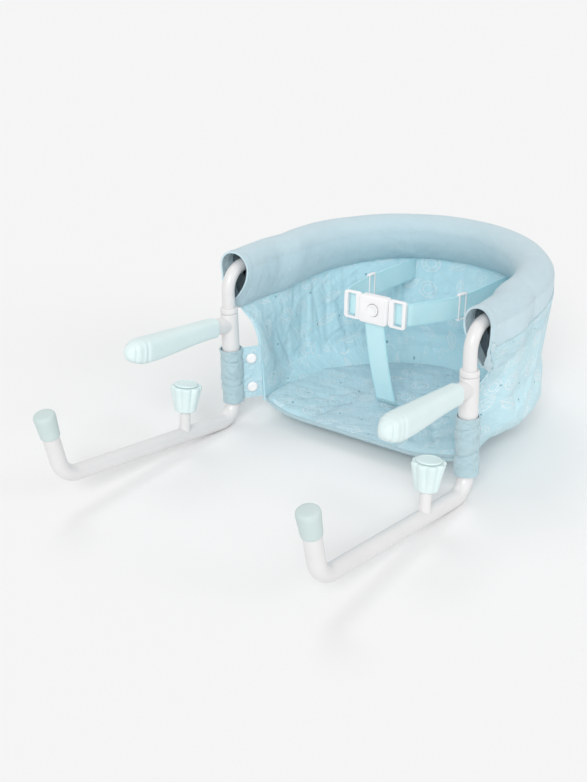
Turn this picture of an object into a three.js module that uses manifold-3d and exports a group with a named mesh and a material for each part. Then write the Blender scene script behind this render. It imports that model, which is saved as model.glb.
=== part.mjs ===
// Hook-on table chair: a fabric seat hung on a bent tube rim, with two swivelling clamp arms.
// Millimetres. X runs across the chair, +Y to its back, +Z up from the ground it stands on.
// The posts stand on the line y = 0 until the finished chair is centred over its own box.

import * as THREE from "three";
import { mergeVertices } from "three/addons/utils/BufferGeometryUtils.js";
import Module from "manifold-3d";

const wasm = await Module();
wasm.setup();

const { degToRad, lerp, smoothstep } = THREE.MathUtils;

// Fits between pieces
const TOUCH_GAP = 0.3;
const RUNNING_GAP = 0.3;

// Rim tube
const POST_SPACING = 340;
const RIM_TUBE_DIAMETER = 16;
const RIM_TUBE_WALL = 1.2;
const RIM_HEIGHT = 204;
const RIM_BEND_RADIUS = 28;
const RIM_SIDE_LENGTH = 116;
const RIM_STRAIGHT_LENGTH = 72;
const RIM_BACK_DEPTH = 167;
const RIM_NARROWING = 8;
const LEG_BOTTOM = 62;
const PLUG_FLANGE = 3;
const PLUG_STEM = 12;

// Padded roll round the rim, measured from the tube's axis
const ROLL_WIDTH = 42;
const ROLL_RISE = 18;
const ROLL_END_DROP = 47;
const ROLL_FRONT_DROP = 57;
const ROLL_BACK_DROP = 40;
const ROLL_WALL = 5;
const ROLL_FRONT = 14;
const SEAM_OFFSET = 8;

// Seat wall and floor
const WALL_THICKNESS = 3;
const WALL_FRONT = 31;
const WALL_TUCK = 34;
const WALL_KNEE = 50;
const WALL_SPREAD = 6;
const FRONT_TUCK = 30;
const FLOOR_HEIGHT = 17;
const FLOOR_FRONT = 18;
const FLOOR_FRONT_WIDTH = 230;
const FLOOR_CORNER_DEPTH = 40;
const UNDERSIDE_THICKNESS = 1.5;
const BOARD_THICKNESS = 3;
const BOARD_INSET = 8;
const FLOOR_PAD_THICKNESS = 5.5;

// Fabric sleeves round the posts, and their press studs
const SLEEVE_DIAMETER = 27.5;
const SLEEVE_CLOTH = 2;
const SLEEVE_BOTTOM = 31;
const SLEEVE_TOP = 102;
const FLAP_TURN = THREE.MathUtils.degToRad(38);
const FLAP_THICKNESS = 2.5;
const SNAP_DIAMETER = 14;
const SNAP_HEIGHT = 3;
const SNAP_REACH = 25;
const SNAP_UPPER_HEIGHT = 86;
const SNAP_LOWER_HEIGHT = 47;

// Lower arms
const LOWER_TUBE_DIAMETER = 19;
const ARM_RISE = degToRad(8);
const ARM_SPLAY = degToRad(1.3);
const POST_BEND_RADIUS = 24;
const ARM_LENGTH = 288;
const HOOK_BEND_RADIUS = 30;
const HOOK_LEAN = degToRad(11);
const HOOK_HEIGHT = 85;
const CAP_HEIGHT = 30;
const CAP_TOP_THICKNESS = 4;
const CAP_TOP_DIAMETER = 25;
const CAP_MOUTH_DIAMETER = 21.6;

// Fitting on the post and the upper arm
const TEE_DIAMETER = 22;
const TEE_BOTTOM = 98;
const TEE_TOP = 150;
const BUSH_HEIGHT = 7;
const UPPER_ARM_HEIGHT = 135;
const STUB_WIDTH = 18;
const STUB_HEIGHT = 21;
const CORE_WIDTH = 13;
const CORE_HEIGHT = 14;
const CORE_END = 151;
const GRIP_START = 30;
const GRIP_END = 177;
const GRIP_ROOT_WIDTH = 21;
const GRIP_ROOT_HEIGHT = 24;
const GRIP_TIP_WIDTH = 28;
const GRIP_TIP_HEIGHT = 30;
const GRIP_TIP_DROP = 5;
const GRIP_NOSE = 24;

// Swivel rivet, and how far each arm folds from straight ahead
const RIVET_DIAMETER = 4;
const RIVET_HEAD_DIAMETER = 7;
const RIVET_HEAD_HEIGHT = 1.6;
const RIVET_HEIGHT = 118;
const LEFT_FOLD = degToRad(90);
const RIGHT_FOLD = degToRad(45);

// Clamp screw
const CLAMP_DISTANCE = 93;
const BOSS_DIAMETER = 16;
const BOSS_HEIGHT = 22;
const SCREW_DIAMETER = 8;
const SCREW_TAIL = 15;
const SCREW_IN_KNOB = 20;
const KNOB_HEIGHT = 32;
const KNOB_TOP_DIAMETER = 37;
const KNOB_FOOT_DIAMETER = 26;
const KNOB_LOBES = 8;
const KNOB_LOBE_DEPTH = 1.2;
const PAD_DIAMETER = 34;
const PAD_THICKNESS = 2.5;
const PAD_STUD_DIAMETER = 10;
const PAD_STUD_LENGTH = 5;

// Harness
const STRAP_WIDTH = 28;
const STRAP_THICKNESS = 1.6;
const ANCHOR_SPACING = 140;
const ANCHOR_HEIGHT = 150;
const ANCHOR_RUN = 20;
const HARNESS_RISE = degToRad(4);
const STRAP_BELLY = 4;
const STRAP_RETURN = 14;
const BUCKLE_REACH = 187;
const BUCKLE_OFFSET = -7;
const BUCKLE_LENGTH = 40;
const BUCKLE_HEIGHT = 34.5;
const BUCKLE_THICKNESS = 13;
const BUCKLE_CORNER = 4;
const TONGUE_LENGTH = 24;
const TONGUE_THICKNESS = 5;
const TONGUE_BAR = 5;
const TONGUE_SLOT = 12;
const BLADE_LENGTH = 11;
const BLADE_HEIGHT = 18;
const BLADE_THICKNESS = 3;
const BUTTON_DIAMETER = 15;
const BUTTON_THICKNESS = 3;
const BUTTON_PROUD = 0.8;
const BUTTON_TRAVEL = 2;
const SLIDER_DEPTH = 8;
const SLIDER_FRAME = 2.4;
const SLIDER_REACH = 112;
const CROTCH_SEWN_LENGTH = 22;
const CROTCH_FRONT = 106;
const CROTCH_BEND_RADIUS = 9;

// How finely round shapes are divided
const TUBE_SIDES = 12;
const TURNED_SIDES = 16;
const BEND_STEP = degToRad(15);
const SIDE_STEPS = 4;
const BACK_STEPS = 16;
const ROLL_CURVE_STEPS = 3;
const STRAP_STEPS = 14;
const GRIP_STEPS = 10;
const MERGE_TOLERANCE = 1e-4;

// Sizes that follow from the others
const postX = POST_SPACING / 2;
const rimRadius = RIM_TUBE_DIAMETER / 2;
const rimBore = rimRadius - RIM_TUBE_WALL;
const lowerRadius = LOWER_TUBE_DIAMETER / 2;
const lowerBore = rimRadius + RUNNING_GAP;
const wallInner = SEAM_OFFSET - WALL_THICKNESS / 2;
const rimBack = RIM_SIDE_LENGTH + RIM_BACK_DEPTH;
const boardBottom = FLOOR_HEIGHT + UNDERSIDE_THICKNESS + TOUCH_GAP;
const padBottom = boardBottom + BOARD_THICKNESS + TOUCH_GAP;
const floorTop = padBottom + FLOOR_PAD_THICKNESS;
const teeBore = lowerRadius + TOUCH_GAP;

// Finishes
const finish = (color, roughness, metalness = 0) =>
  new THREE.MeshStandardMaterial({ color, roughness, metalness });
const whitePaint = finish(0xf0eeee, 0.35);
const whitePlastic = finish(0xf7f5f6, 0.4);
const mintPlastic = finish(0xd6ecea, 0.45);
const mintRubber = finish(0xc8e1dc, 0.6);
const rollFabric = finish(0xb2cfda, 0.8);
const wallFabric = finish(0x9fcbdc, 0.8);
const webbing = finish(0x96d7e1, 0.75);
const hardboard = finish(0x9a7b58, 0.85);
const steel = finish(0xb9bcc0, 0.3, 0.9);

// Solids for joining and cutting

function asSolid(geometry) {
  const bare = new THREE.BufferGeometry();
  bare.setAttribute("position", geometry.attributes.position);
  bare.setIndex(geometry.index);
  const merged = mergeVertices(bare, MERGE_TOLERANCE);
  const corners = merged.index.array;
  const triVerts = [];
  for (let i = 0; i < corners.length; i += 3) {
    const [a, b, c] = corners.slice(i, i + 3);
    if (a !== b && b !== c && c !== a) triVerts.push(a, b, c);
  }
  const vertProperties = Float32Array.from(merged.attributes.position.array);
  return new wasm.Manifold(
    new wasm.Mesh({ numProp: 3, vertProperties, triVerts: Uint32Array.from(triVerts) }),
  );
}

function asGeometry(solid) {
  const { vertProperties, triVerts } = solid.getMesh();
  const geometry = new THREE.BufferGeometry();
  geometry.setAttribute("position", new THREE.BufferAttribute(vertProperties, 3));
  geometry.setIndex(new THREE.BufferAttribute(triVerts, 1));
  geometry.computeVertexNormals();
  return geometry;
}

function cut(body, ...tools) {
  return asGeometry(tools.reduce((solid, tool) => solid.subtract(asSolid(tool)), asSolid(body)));
}

function join(...bodies) {
  return asGeometry(bodies.map(asSolid).reduce((all, solid) => all.add(solid)));
}

// Shapes and sweeps

// A path through chosen stations, so that bends have steps and straight runs have none
class StationPath extends THREE.Curve {
  constructor(stations) {
    super();
    this.stations = stations;
  }

  getSpacedPoints() {
    return this.stations;
  }

  getTangentAt(share, target = new THREE.Vector3()) {
    const last = this.stations.length - 1;
    const i = Math.round(share * last);
    const here = this.stations[i];
    target.set(0, 0, 0);
    if (i > 0) target.add(here.clone().sub(this.stations[i - 1]).normalize());
    if (i < last) target.add(this.stations[i + 1].clone().sub(here).normalize());
    return target.normalize();
  }
}

function sweep(shape, stations, curveSegments = 1) {
  const extrudePath = new StationPath(stations);
  return new THREE.ExtrudeGeometry(shape, { steps: stations.length - 1, extrudePath, curveSegments });
}

// Stations of a tube through corners, each rounded to its bend radius
function bentStations(corners, radii) {
  const stations = [corners[0]];
  radii.forEach((radius, i) => {
    const corner = corners[i + 1];
    const back = corners[i].clone().sub(corner).normalize();
    const ahead = corners[i + 2].clone().sub(corner).normalize();
    const half = back.angleTo(ahead) / 2;
    const start = corner.clone().addScaledVector(back, radius / Math.tan(half));
    const toCentre = back.clone().add(ahead).normalize();
    const centre = corner.clone().addScaledVector(toCentre, radius / Math.sin(half));
    const axis = ahead.clone().cross(back).normalize();
    const turn = Math.PI - 2 * half;
    const steps = Math.ceil(turn / BEND_STEP);
    for (let k = 0; k <= steps; k += 1) {
      const spoke = start.clone().sub(centre).applyAxisAngle(axis, (turn * k) / steps);
      stations.push(centre.clone().add(spoke));
    }
  });
  stations.push(corners[corners.length - 1]);
  return stations;
}

function polygon(radius, sides) {
  return Array.from({ length: sides }, (_, i) => {
    const angle = (2 * Math.PI * (i + 0.5)) / sides;
    return new THREE.Vector2(radius * Math.cos(angle), radius * Math.sin(angle));
  });
}

// A bore's polygon goes round its circle, so that what runs in it never touches the flats
const aroundCircle = (radius, sides) => radius / Math.cos(Math.PI / sides);

function tubeSection(outerRadius, boreRadius) {
  const section = new THREE.Shape(polygon(outerRadius, TUBE_SIDES));
  section.holes.push(new THREE.Path(polygon(aroundCircle(boreRadius, TUBE_SIDES), TUBE_SIDES)));
  return section;
}

// A turned piece about Z, from its profile of radius and height
function turned(profile, sides = TURNED_SIDES) {
  const points = profile.map(([radius, height]) => new THREE.Vector2(radius, height));
  return new THREE.LatheGeometry(points, sides).rotateX(Math.PI / 2);
}

function disc(radius, bottom, top, sides = TURNED_SIDES) {
  return turned([[0, bottom], [radius, bottom], [radius, top], [0, top]], sides);
}

function drill(radius, bottom, top) {
  return disc(aroundCircle(radius, TURNED_SIDES), bottom, top);
}

function ring(radius, bore, bottom, top) {
  const boreRadius = aroundCircle(bore, TURNED_SIDES);
  const profile = [[boreRadius, top], [boreRadius, bottom], [radius, bottom], [radius, top], [boreRadius, top]];
  return turned(profile);
}

function roundedRectangle(width, height, corner) {
  const [x, y] = [width / 2, height / 2];
  const shape = new THREE.Shape();
  shape.absarc(x - corner, y - corner, corner, 0, Math.PI / 2);
  shape.absarc(corner - x, y - corner, corner, Math.PI / 2, Math.PI);
  shape.absarc(corner - x, corner - y, corner, Math.PI, 1.5 * Math.PI);
  shape.absarc(x - corner, corner - y, corner, 1.5 * Math.PI, 2 * Math.PI);
  return shape;
}

// A plate in the XZ plane, between two places along Y
function plate(shape, front, back, curveSegments = 3) {
  const depth = back - front;
  const flat = new THREE.ExtrudeGeometry(shape, { depth, bevelEnabled: false, curveSegments });
  return flat.rotateX(Math.PI / 2).translate(0, back, 0);
}

function block(width, depth, height, x = 0, y = 0, z = 0) {
  return new THREE.BoxGeometry(width, depth, height).translate(x, y, z);
}

function prism(shape, bottom, top) {
  const depth = top - bottom;
  return new THREE.ExtrudeGeometry(shape, { depth, bevelEnabled: false }).translate(0, 0, bottom);
}

// A strip of even thickness on both sides of a flat curve
function stripShape(points, thickness) {
  const side = (sign) => points.map((point, i) => {
    const before = points[Math.max(i - 1, 0)];
    const after = points[Math.min(i + 1, points.length - 1)];
    const along = after.clone().sub(before).normalize();
    const across = new THREE.Vector2(-along.y, along.x);
    return point.clone().addScaledVector(across, (sign * thickness) / 2);
  });
  return new THREE.Shape([...side(1), ...side(-1).reverse()]);
}

// A closed skin between an outer and an inner face, each given as rows of places from top to bottom
function skin(outer, inner) {
  const rows = [...outer, ...inner.reverse()];
  const stations = rows[0].length;
  const at = (row, station) => (row % rows.length) * stations + station;
  const index = [];
  const quad = (a, b, c, d) => index.push(a, b, c, a, c, d);
  for (let row = 0; row < rows.length; row += 1) {
    for (let i = 0; i + 1 < stations; i += 1) {
      quad(at(row, i), at(row, i + 1), at(row + 1, i + 1), at(row + 1, i));
    }
  }
  for (let row = 0; row + 1 < outer.length; row += 1) {
    const facing = rows.length - 1 - row;
    const last = stations - 1;
    quad(at(row, 0), at(row + 1, 0), at(facing - 1, 0), at(facing, 0));
    quad(at(facing, last), at(facing - 1, last), at(row + 1, last), at(row, last));
  }
  const geometry = new THREE.BufferGeometry().setFromPoints(rows.flat());
  geometry.setIndex(index);
  geometry.computeVertexNormals();
  return geometry;
}

function placed(geometry, group) {
  group.updateMatrix();
  return geometry.clone().applyMatrix4(group.matrix);
}

const chair = new THREE.Group();

function add(name, geometry, material, parent = chair) {
  const mesh = new THREE.Mesh(geometry, material);
  mesh.name = name;
  parent.add(mesh);
  return mesh;
}

// Rim plan, from the left front round the back to the right front, moved outwards by an offset
function rimPlan(front, offset) {
  const backHalf = postX - RIM_NARROWING;
  const left = [new THREE.Vector2(-postX - offset, front)];
  if (front < WALL_FRONT) left.push(new THREE.Vector2(-postX - offset, WALL_FRONT));
  for (let i = 0; i < SIDE_STEPS; i += 1) {
    const y = lerp(RIM_STRAIGHT_LENGTH, RIM_SIDE_LENGTH, i / SIDE_STEPS);
    const narrowing = RIM_NARROWING * smoothstep(y, RIM_STRAIGHT_LENGTH, RIM_SIDE_LENGTH);
    left.push(new THREE.Vector2(narrowing - postX - offset, y));
  }
  const back = [];
  for (let i = 0; i <= BACK_STEPS; i += 1) {
    const angle = Math.PI * (1 - i / BACK_STEPS);
    const [c, s] = [Math.cos(angle), Math.sin(angle)];
    const outwards = new THREE.Vector2(c / backHalf, s / RIM_BACK_DEPTH).normalize();
    const point = new THREE.Vector2(backHalf * c, RIM_SIDE_LENGTH + RIM_BACK_DEPTH * s);
    back.push(point.addScaledVector(outwards, offset));
  }
  const right = left.map((point) => new THREE.Vector2(-point.x, point.y)).reverse();
  return [...left, ...back, ...right];
}

const atHeight = (points, z) => points.map((point) => new THREE.Vector3(point.x, point.y, z));

// Rim tube, with a slot in each leg for the swivel rivet

function rimStations() {
  const legWithBend = (sign) => {
    const stations = [new THREE.Vector3(sign * postX, 0, LEG_BOTTOM)];
    const steps = Math.ceil(Math.PI / 2 / BEND_STEP);
    for (let k = 0; k < steps; k += 1) {
      const angle = (Math.PI / 2) * (k / steps);
      const y = RIM_BEND_RADIUS * (1 - Math.cos(angle));
      const z = RIM_HEIGHT - RIM_BEND_RADIUS * (1 - Math.sin(angle));
      stations.push(new THREE.Vector3(sign * postX, y, z));
    }
    return stations;
  };
  const horseshoe = atHeight(rimPlan(RIM_BEND_RADIUS, 0), RIM_HEIGHT);
  return [...legWithBend(-1), ...horseshoe, ...legWithBend(1).reverse()];
}

// Room for the rivet as the arm turns from straight ahead to its fold
function rivetSlot(sign, fold) {
  const pin = RIVET_DIAMETER / 2 + RUNNING_GAP;
  const margin = Math.asin(pin / rimBore);
  const rest = Math.PI / 2 + sign * ARM_SPLAY;
  const folded = Math.PI / 2 - sign * fold;
  const first = Math.min(rest, folded) - margin;
  const last = Math.max(rest, folded) + margin;
  const inside = rimBore - RIM_TUBE_WALL;
  const outside = rimRadius + RIM_TUBE_WALL;
  const sector = new THREE.Shape();
  sector.absarc(0, 0, outside, first, last, false);
  sector.absarc(0, 0, inside, last, first, true);
  return prism(sector, RIVET_HEIGHT - pin, RIVET_HEIGHT + pin).translate(sign * postX, 0, 0);
}

function rimTube() {
  const tube = sweep(tubeSection(rimRadius, rimBore), rimStations());
  return cut(tube, rivetSlot(-1, LEFT_FOLD), rivetSlot(1, RIGHT_FOLD));
}

function legPlug() {
  const stem = rimBore - TOUCH_GAP;
  const flangeTop = LEG_BOTTOM - TOUCH_GAP;
  const flangeBottom = flangeTop - PLUG_FLANGE;
  const top = LEG_BOTTOM + PLUG_STEM;
  return turned([[0, flangeBottom], [rimRadius, flangeBottom], [rimRadius, flangeTop], [stem, flangeTop],
    [stem, top], [0, top]], TUBE_SIDES);
}

add("rim_tube", rimTube(), whitePaint);
add("left_leg_plug", legPlug().translate(-postX, 0, 0), whitePlastic);
add("right_leg_plug", legPlug().translate(postX, 0, 0), whitePlastic);

// Padded roll: a hollow drop-shaped section, drawn with x down and y outwards from the tube's axis.
// It hangs deepest over the front edges of the wall.

function rollDrop(y) {
  const overWall = lerp(ROLL_FRONT_DROP, ROLL_BACK_DROP, smoothstep(y, RIM_STRAIGHT_LENGTH, rimBack));
  return lerp(ROLL_END_DROP, overWall, smoothstep(y, ROLL_FRONT, WALL_FRONT));
}

function rollOutline(Outline, rise, halfWidth, drop, seam) {
  const outline = new Outline();
  const shoulder = drop * 0.3;
  outline.moveTo(-rise, 0);
  outline.bezierCurveTo(-rise, -halfWidth * 0.6, -rise * 0.55, -halfWidth, 0, -halfWidth);
  outline.bezierCurveTo(shoulder, -halfWidth, drop * 0.85, seam - halfWidth * 0.5, drop, seam);
  outline.bezierCurveTo(drop * 0.75, seam + halfWidth * 0.25, shoulder, halfWidth, 0, halfWidth);
  outline.bezierCurveTo(-rise * 0.55, halfWidth, -rise, halfWidth * 0.6, -rise, 0);
  return outline;
}

function rimCover() {
  const section = rollOutline(THREE.Shape, ROLL_RISE, ROLL_WIDTH / 2, ROLL_FRONT_DROP, SEAM_OFFSET);
  const hollowRise = rimRadius + TOUCH_GAP;
  const hollowHalf = ROLL_WIDTH / 2 - ROLL_WALL;
  const hollowDrop = ROLL_FRONT_DROP - 2.5 * ROLL_WALL;
  section.holes.push(rollOutline(THREE.Path, hollowRise, hollowHalf, hollowDrop, SEAM_OFFSET / 2));
  const roll = sweep(section, atHeight(rimPlan(ROLL_FRONT, 0), RIM_HEIGHT), ROLL_CURVE_STEPS);
  const place = roll.attributes.position;
  for (let i = 0; i < place.count; i += 1) {
    const below = Math.max(0, RIM_HEIGHT - place.getZ(i));
    const lifted = below * (1 - rollDrop(place.getY(i)) / ROLL_FRONT_DROP);
    place.setZ(i, place.getZ(i) + lifted);
  }
  return roll;
}

add("rim_cover", rimCover(), rollFabric);

// Seat wall: it hangs from the roll's seam and is drawn in below its knee to the floor's edge.
// The knee is low and spread at the back. At the front edges it is level with the sleeves and already drawn in.

const seamHeight = (y) => RIM_HEIGHT - rollDrop(y) - 2 * TOUCH_GAP;
const behindFront = (y) => smoothstep(y, WALL_FRONT, RIM_SIDE_LENGTH);
const kneeHeight = (y) => lerp(SLEEVE_TOP, WALL_KNEE, behindFront(y));

function seatWall() {
  const face = (offset, lower) => {
    const upright = rimPlan(WALL_FRONT, offset);
    const drawnIn = rimPlan(WALL_FRONT, offset - FRONT_TUCK);
    const spread = rimPlan(WALL_FRONT, offset + WALL_SPREAD);
    const foot = rimPlan(WALL_FRONT, offset - WALL_TUCK);
    const seam = upright.map(({ x, y }) => new THREE.Vector3(x, y, seamHeight(y)));
    const knee = upright.map(({ y }, i) => {
      const place = drawnIn[i].lerp(spread[i], behindFront(y));
      return new THREE.Vector3(place.x, place.y, kneeHeight(y) - lower);
    });
    return [seam, knee, atHeight(foot, FLOOR_HEIGHT)];
  };
  return skin(face(wallInner + WALL_THICKNESS, WALL_THICKNESS), face(wallInner, 0));
}

function floorPlan(inset) {
  const side = rimPlan(FLOOR_FRONT + FLOOR_CORNER_DEPTH, wallInner - WALL_TUCK - TOUCH_GAP - inset);
  const corner = FLOOR_FRONT_WIDTH / 2 - inset;
  const front = FLOOR_FRONT + inset;
  return new THREE.Shape([new THREE.Vector2(-corner, front), ...side, new THREE.Vector2(corner, front)]);
}

add("seat_wall", seatWall(), wallFabric);
add("seat_underside", prism(floorPlan(0), FLOOR_HEIGHT, FLOOR_HEIGHT + UNDERSIDE_THICKNESS), wallFabric);
add("floor_board", prism(floorPlan(BOARD_INSET), boardBottom, boardBottom + BOARD_THICKNESS), hardboard);
add("seat_floor", prism(floorPlan(0), padBottom, floorTop), wallFabric);

// Post sleeves, each with a flap turned in to the wall's front edge, which carries two press studs

const sleeveRadius = SLEEVE_DIAMETER / 2;
const flapCorner = (FLAP_THICKNESS / 2) * Math.sin(FLAP_TURN);
const flapEnd = (WALL_FRONT - TOUCH_GAP - flapCorner) / Math.cos(FLAP_TURN);

function postSleeve(sign) {
  const wrap = ring(sleeveRadius, sleeveRadius - SLEEVE_CLOTH, SLEEVE_BOTTOM, SLEEVE_TOP);
  const flapFront = sleeveRadius - SLEEVE_CLOTH * 0.75;
  const flapLength = flapEnd - flapFront;
  const flapHeight = SLEEVE_TOP - SLEEVE_BOTTOM;
  const flap = block(FLAP_THICKNESS, flapLength, flapHeight,
    0, flapFront + flapLength / 2, SLEEVE_BOTTOM + flapHeight / 2);
  return join(wrap, flap.rotateZ(sign * FLAP_TURN)).translate(sign * postX, 0, 0);
}

function snap(sign, height) {
  const radius = SNAP_DIAMETER / 2;
  const profile = [[0, 0], [radius, 0], [radius, SNAP_HEIGHT * 0.5], [radius * 0.7, SNAP_HEIGHT], [0, SNAP_HEIGHT]];
  const dome = turned(profile, TUBE_SIDES);
  const seat = -sign * (FLAP_THICKNESS / 2 + TOUCH_GAP);
  dome.rotateY((-sign * Math.PI) / 2).translate(seat, SNAP_REACH, height);
  return dome.rotateZ(sign * FLAP_TURN).translate(sign * postX, 0, 0);
}

for (const [side, sign] of [["left", -1], ["right", 1]]) {
  add(`${side}_post_sleeve`, postSleeve(sign), wallFabric);
  add(`${side}_upper_snap`, snap(sign, SNAP_UPPER_HEIGHT), whitePlastic);
  add(`${side}_lower_snap`, snap(sign, SNAP_LOWER_HEIGHT), whitePlastic);
}

// Lower arm: post, bend, arm and hook in one tube, in the arm's own frame with the post on the Z axis

const armAhead = new THREE.Vector3(0, -Math.cos(ARM_RISE), Math.sin(ARM_RISE));
const hookUp = new THREE.Vector3(0, -Math.sin(HOOK_LEAN), Math.cos(HOOK_LEAN));
const postBendHalf = (Math.PI / 2 - ARM_RISE) / 2;
const postCorner = new THREE.Vector3(0, 0, lowerRadius - POST_BEND_RADIUS * (1 / Math.tan(postBendHalf) - 1));
const hookCorner = postCorner.clone().addScaledVector(armAhead, ARM_LENGTH);
const hookEnd = hookCorner.clone().addScaledVector(hookUp, HOOK_HEIGHT - CAP_TOP_THICKNESS);
const clampPlace = postCorner.clone().addScaledVector(armAhead, CLAMP_DISTANCE);

// Frames of the clamp, the hook's end and the upper arm
const clampFrame = new THREE.Group();
clampFrame.position.copy(clampPlace);
clampFrame.rotation.x = -ARM_RISE;

const hookFrame = new THREE.Group();
hookFrame.position.copy(hookEnd);
hookFrame.rotation.x = HOOK_LEAN;

const upperFrame = new THREE.Group();
upperFrame.position.z = UPPER_ARM_HEIGHT;
upperFrame.rotation.x = -ARM_RISE;

const screwRadius = SCREW_DIAMETER / 2;
const screwHole = screwRadius + RUNNING_GAP;
const rivetHole = RIVET_DIAMETER / 2 + TOUCH_GAP;
const bossTop = lowerRadius + BOSS_HEIGHT;
const knobFoot = bossTop + TOUCH_GAP;
const knobTop = knobFoot + KNOB_HEIGHT;

// A drill along +Y at the rivet's height, through every wall behind the post's axis
function rivetDrill() {
  return drill(rivetHole, 0, TEE_DIAMETER).rotateX(-Math.PI / 2).translate(0, 0, RIVET_HEIGHT);
}

function lowerArm() {
  const postTop = new THREE.Vector3(0, 0, TEE_TOP);
  const stations = bentStations([postTop, postCorner, hookCorner, hookEnd], [POST_BEND_RADIUS, HOOK_BEND_RADIUS]);
  const tube = sweep(tubeSection(lowerRadius, lowerBore), stations);
  const screwDrill = placed(drill(screwHole, 0, LOWER_TUBE_DIAMETER), clampFrame);
  return cut(tube, screwDrill, rivetDrill());
}

function armTee() {
  const collar = disc(TEE_DIAMETER / 2, TEE_BOTTOM, TEE_TOP);
  const stub = plate(roundedRectangle(STUB_WIDTH, STUB_HEIGHT, STUB_WIDTH * 0.4), -GRIP_START, 0);
  const core = plate(roundedRectangle(CORE_WIDTH, CORE_HEIGHT, CORE_WIDTH * 0.3), -CORE_END, 0);
  const whole = join(collar, placed(stub, upperFrame), placed(core, upperFrame));
  return cut(whole, drill(teeBore, TEE_BOTTOM - BUSH_HEIGHT, TEE_TOP + BUSH_HEIGHT), rivetDrill());
}

function pivotBush() {
  const bottom = TEE_TOP + TOUCH_GAP;
  return ring(TEE_DIAMETER / 2, lowerBore, bottom, bottom + BUSH_HEIGHT);
}

function swivelRivet() {
  const pin = RIVET_DIAMETER / 2;
  const head = RIVET_HEAD_DIAMETER / 2;
  const tip = rimBore - RUNNING_GAP;
  const seat = TEE_DIAMETER / 2 + TOUCH_GAP;
  const profile = [[0, tip], [pin, tip], [pin, seat], [head, seat], [head * 0.8, seat + RIVET_HEAD_HEIGHT],
    [0, seat + RIVET_HEAD_HEIGHT]];
  return turned(profile, TUBE_SIDES).rotateX(-Math.PI / 2).translate(0, 0, RIVET_HEIGHT);
}

// Soft grip: an oval sleeve that swells and drops to a round nose, with a blind hole for the core
function armGrip() {
  const length = GRIP_END - GRIP_START;
  const oval = roundedRectangle(1, 1, 0.36);
  const sleeve = new THREE.ExtrudeGeometry(oval, { depth: 1, steps: GRIP_STEPS, bevelEnabled: false, curveSegments: 2 });
  const place = sleeve.attributes.position;
  for (let i = 0; i < place.count; i += 1) {
    const share = 1 - (1 - place.getZ(i)) ** 1.5;
    const along = share * length;
    const swell = smoothstep(share, 0, 0.85);
    const intoNose = Math.max(0, along - (length - GRIP_NOSE)) / GRIP_NOSE;
    const nose = Math.sqrt(1 - (0.86 * intoNose) ** 2);
    const width = lerp(GRIP_ROOT_WIDTH, GRIP_TIP_WIDTH, swell) * nose;
    const height = lerp(GRIP_ROOT_HEIGHT, GRIP_TIP_HEIGHT, swell) * nose;
    const drop = GRIP_TIP_DROP * swell;
    place.setXYZ(i, place.getX(i) * width, -GRIP_START - TOUCH_GAP - along, place.getY(i) * height - drop);
  }
  const hole = plate(roundedRectangle(CORE_WIDTH + 2 * TOUCH_GAP, CORE_HEIGHT + 2 * TOUCH_GAP, CORE_WIDTH * 0.3),
    -CORE_END - TOUCH_GAP, 0);
  return cut(sleeve, hole);
}

function hookCap() {
  const bore = lowerRadius + TOUCH_GAP;
  const mouth = CAP_TOP_THICKNESS - CAP_HEIGHT;
  const top = CAP_TOP_DIAMETER / 2;
  return turned([[0, TOUCH_GAP], [bore, TOUCH_GAP], [bore, mouth], [CAP_MOUTH_DIAMETER / 2, mouth],
    [top, -CAP_TOP_THICKNESS / 2], [top * 0.93, CAP_TOP_THICKNESS * 0.5], [top * 0.62, CAP_TOP_THICKNESS * 0.9],
    [0, CAP_TOP_THICKNESS]]);
}

// Clamp pieces stand on the arm in the clamp's frame, with the tube's axis along Y at height 0

function clampBoss() {
  const post = disc(BOSS_DIAMETER / 2, 0, bossTop);
  const tubeRoom = drill(lowerRadius + TOUCH_GAP, -BOSS_DIAMETER, BOSS_DIAMETER).rotateX(Math.PI / 2);
  return cut(post, tubeRoom, drill(screwHole, 0, bossTop + BOSS_HEIGHT));
}

function clampScrew() {
  return disc(screwRadius, bossTop - BOSS_HEIGHT - SCREW_TAIL, knobFoot + SCREW_IN_KNOB, TUBE_SIDES);
}

function clampKnob() {
  const outline = new THREE.Shape(Array.from({ length: 3 * KNOB_LOBES }, (_, i) => {
    const angle = (2 * Math.PI * i) / (3 * KNOB_LOBES);
    const lobe = i % 3 === 0 ? KNOB_LOBE_DEPTH : 0;
    const radius = KNOB_TOP_DIAMETER / 2 - lobe;
    return new THREE.Vector2(radius * Math.cos(angle), radius * Math.sin(angle));
  }));
  const knob = prism(outline, knobFoot, knobTop);
  const place = knob.attributes.position;
  for (let i = 0; i < place.count; i += 1) {
    const share = (place.getZ(i) - knobFoot) / KNOB_HEIGHT;
    const scale = lerp(KNOB_FOOT_DIAMETER / KNOB_TOP_DIAMETER, 1, share);
    place.setXYZ(i, place.getX(i) * scale, place.getY(i) * scale, place.getZ(i));
  }
  const screwSocket = drill(screwRadius + TOUCH_GAP, 0, knobFoot + SCREW_IN_KNOB + TOUCH_GAP);
  const studSocket = drill(PAD_STUD_DIAMETER / 2 + RUNNING_GAP, knobTop - PAD_STUD_LENGTH, knobTop + PAD_THICKNESS);
  return cut(knob, screwSocket, studSocket);
}

function clampPad() {
  const stud = PAD_STUD_DIAMETER / 2;
  const bottom = knobTop + RUNNING_GAP;
  const top = bottom + PAD_THICKNESS;
  const radius = PAD_DIAMETER / 2;
  const tip = bottom - PAD_STUD_LENGTH;
  return turned([[0, tip], [stud, tip], [stud, bottom], [radius, bottom], [radius, top - PAD_THICKNESS * 0.4],
    [radius * 0.94, top], [0, top]]);
}

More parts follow.
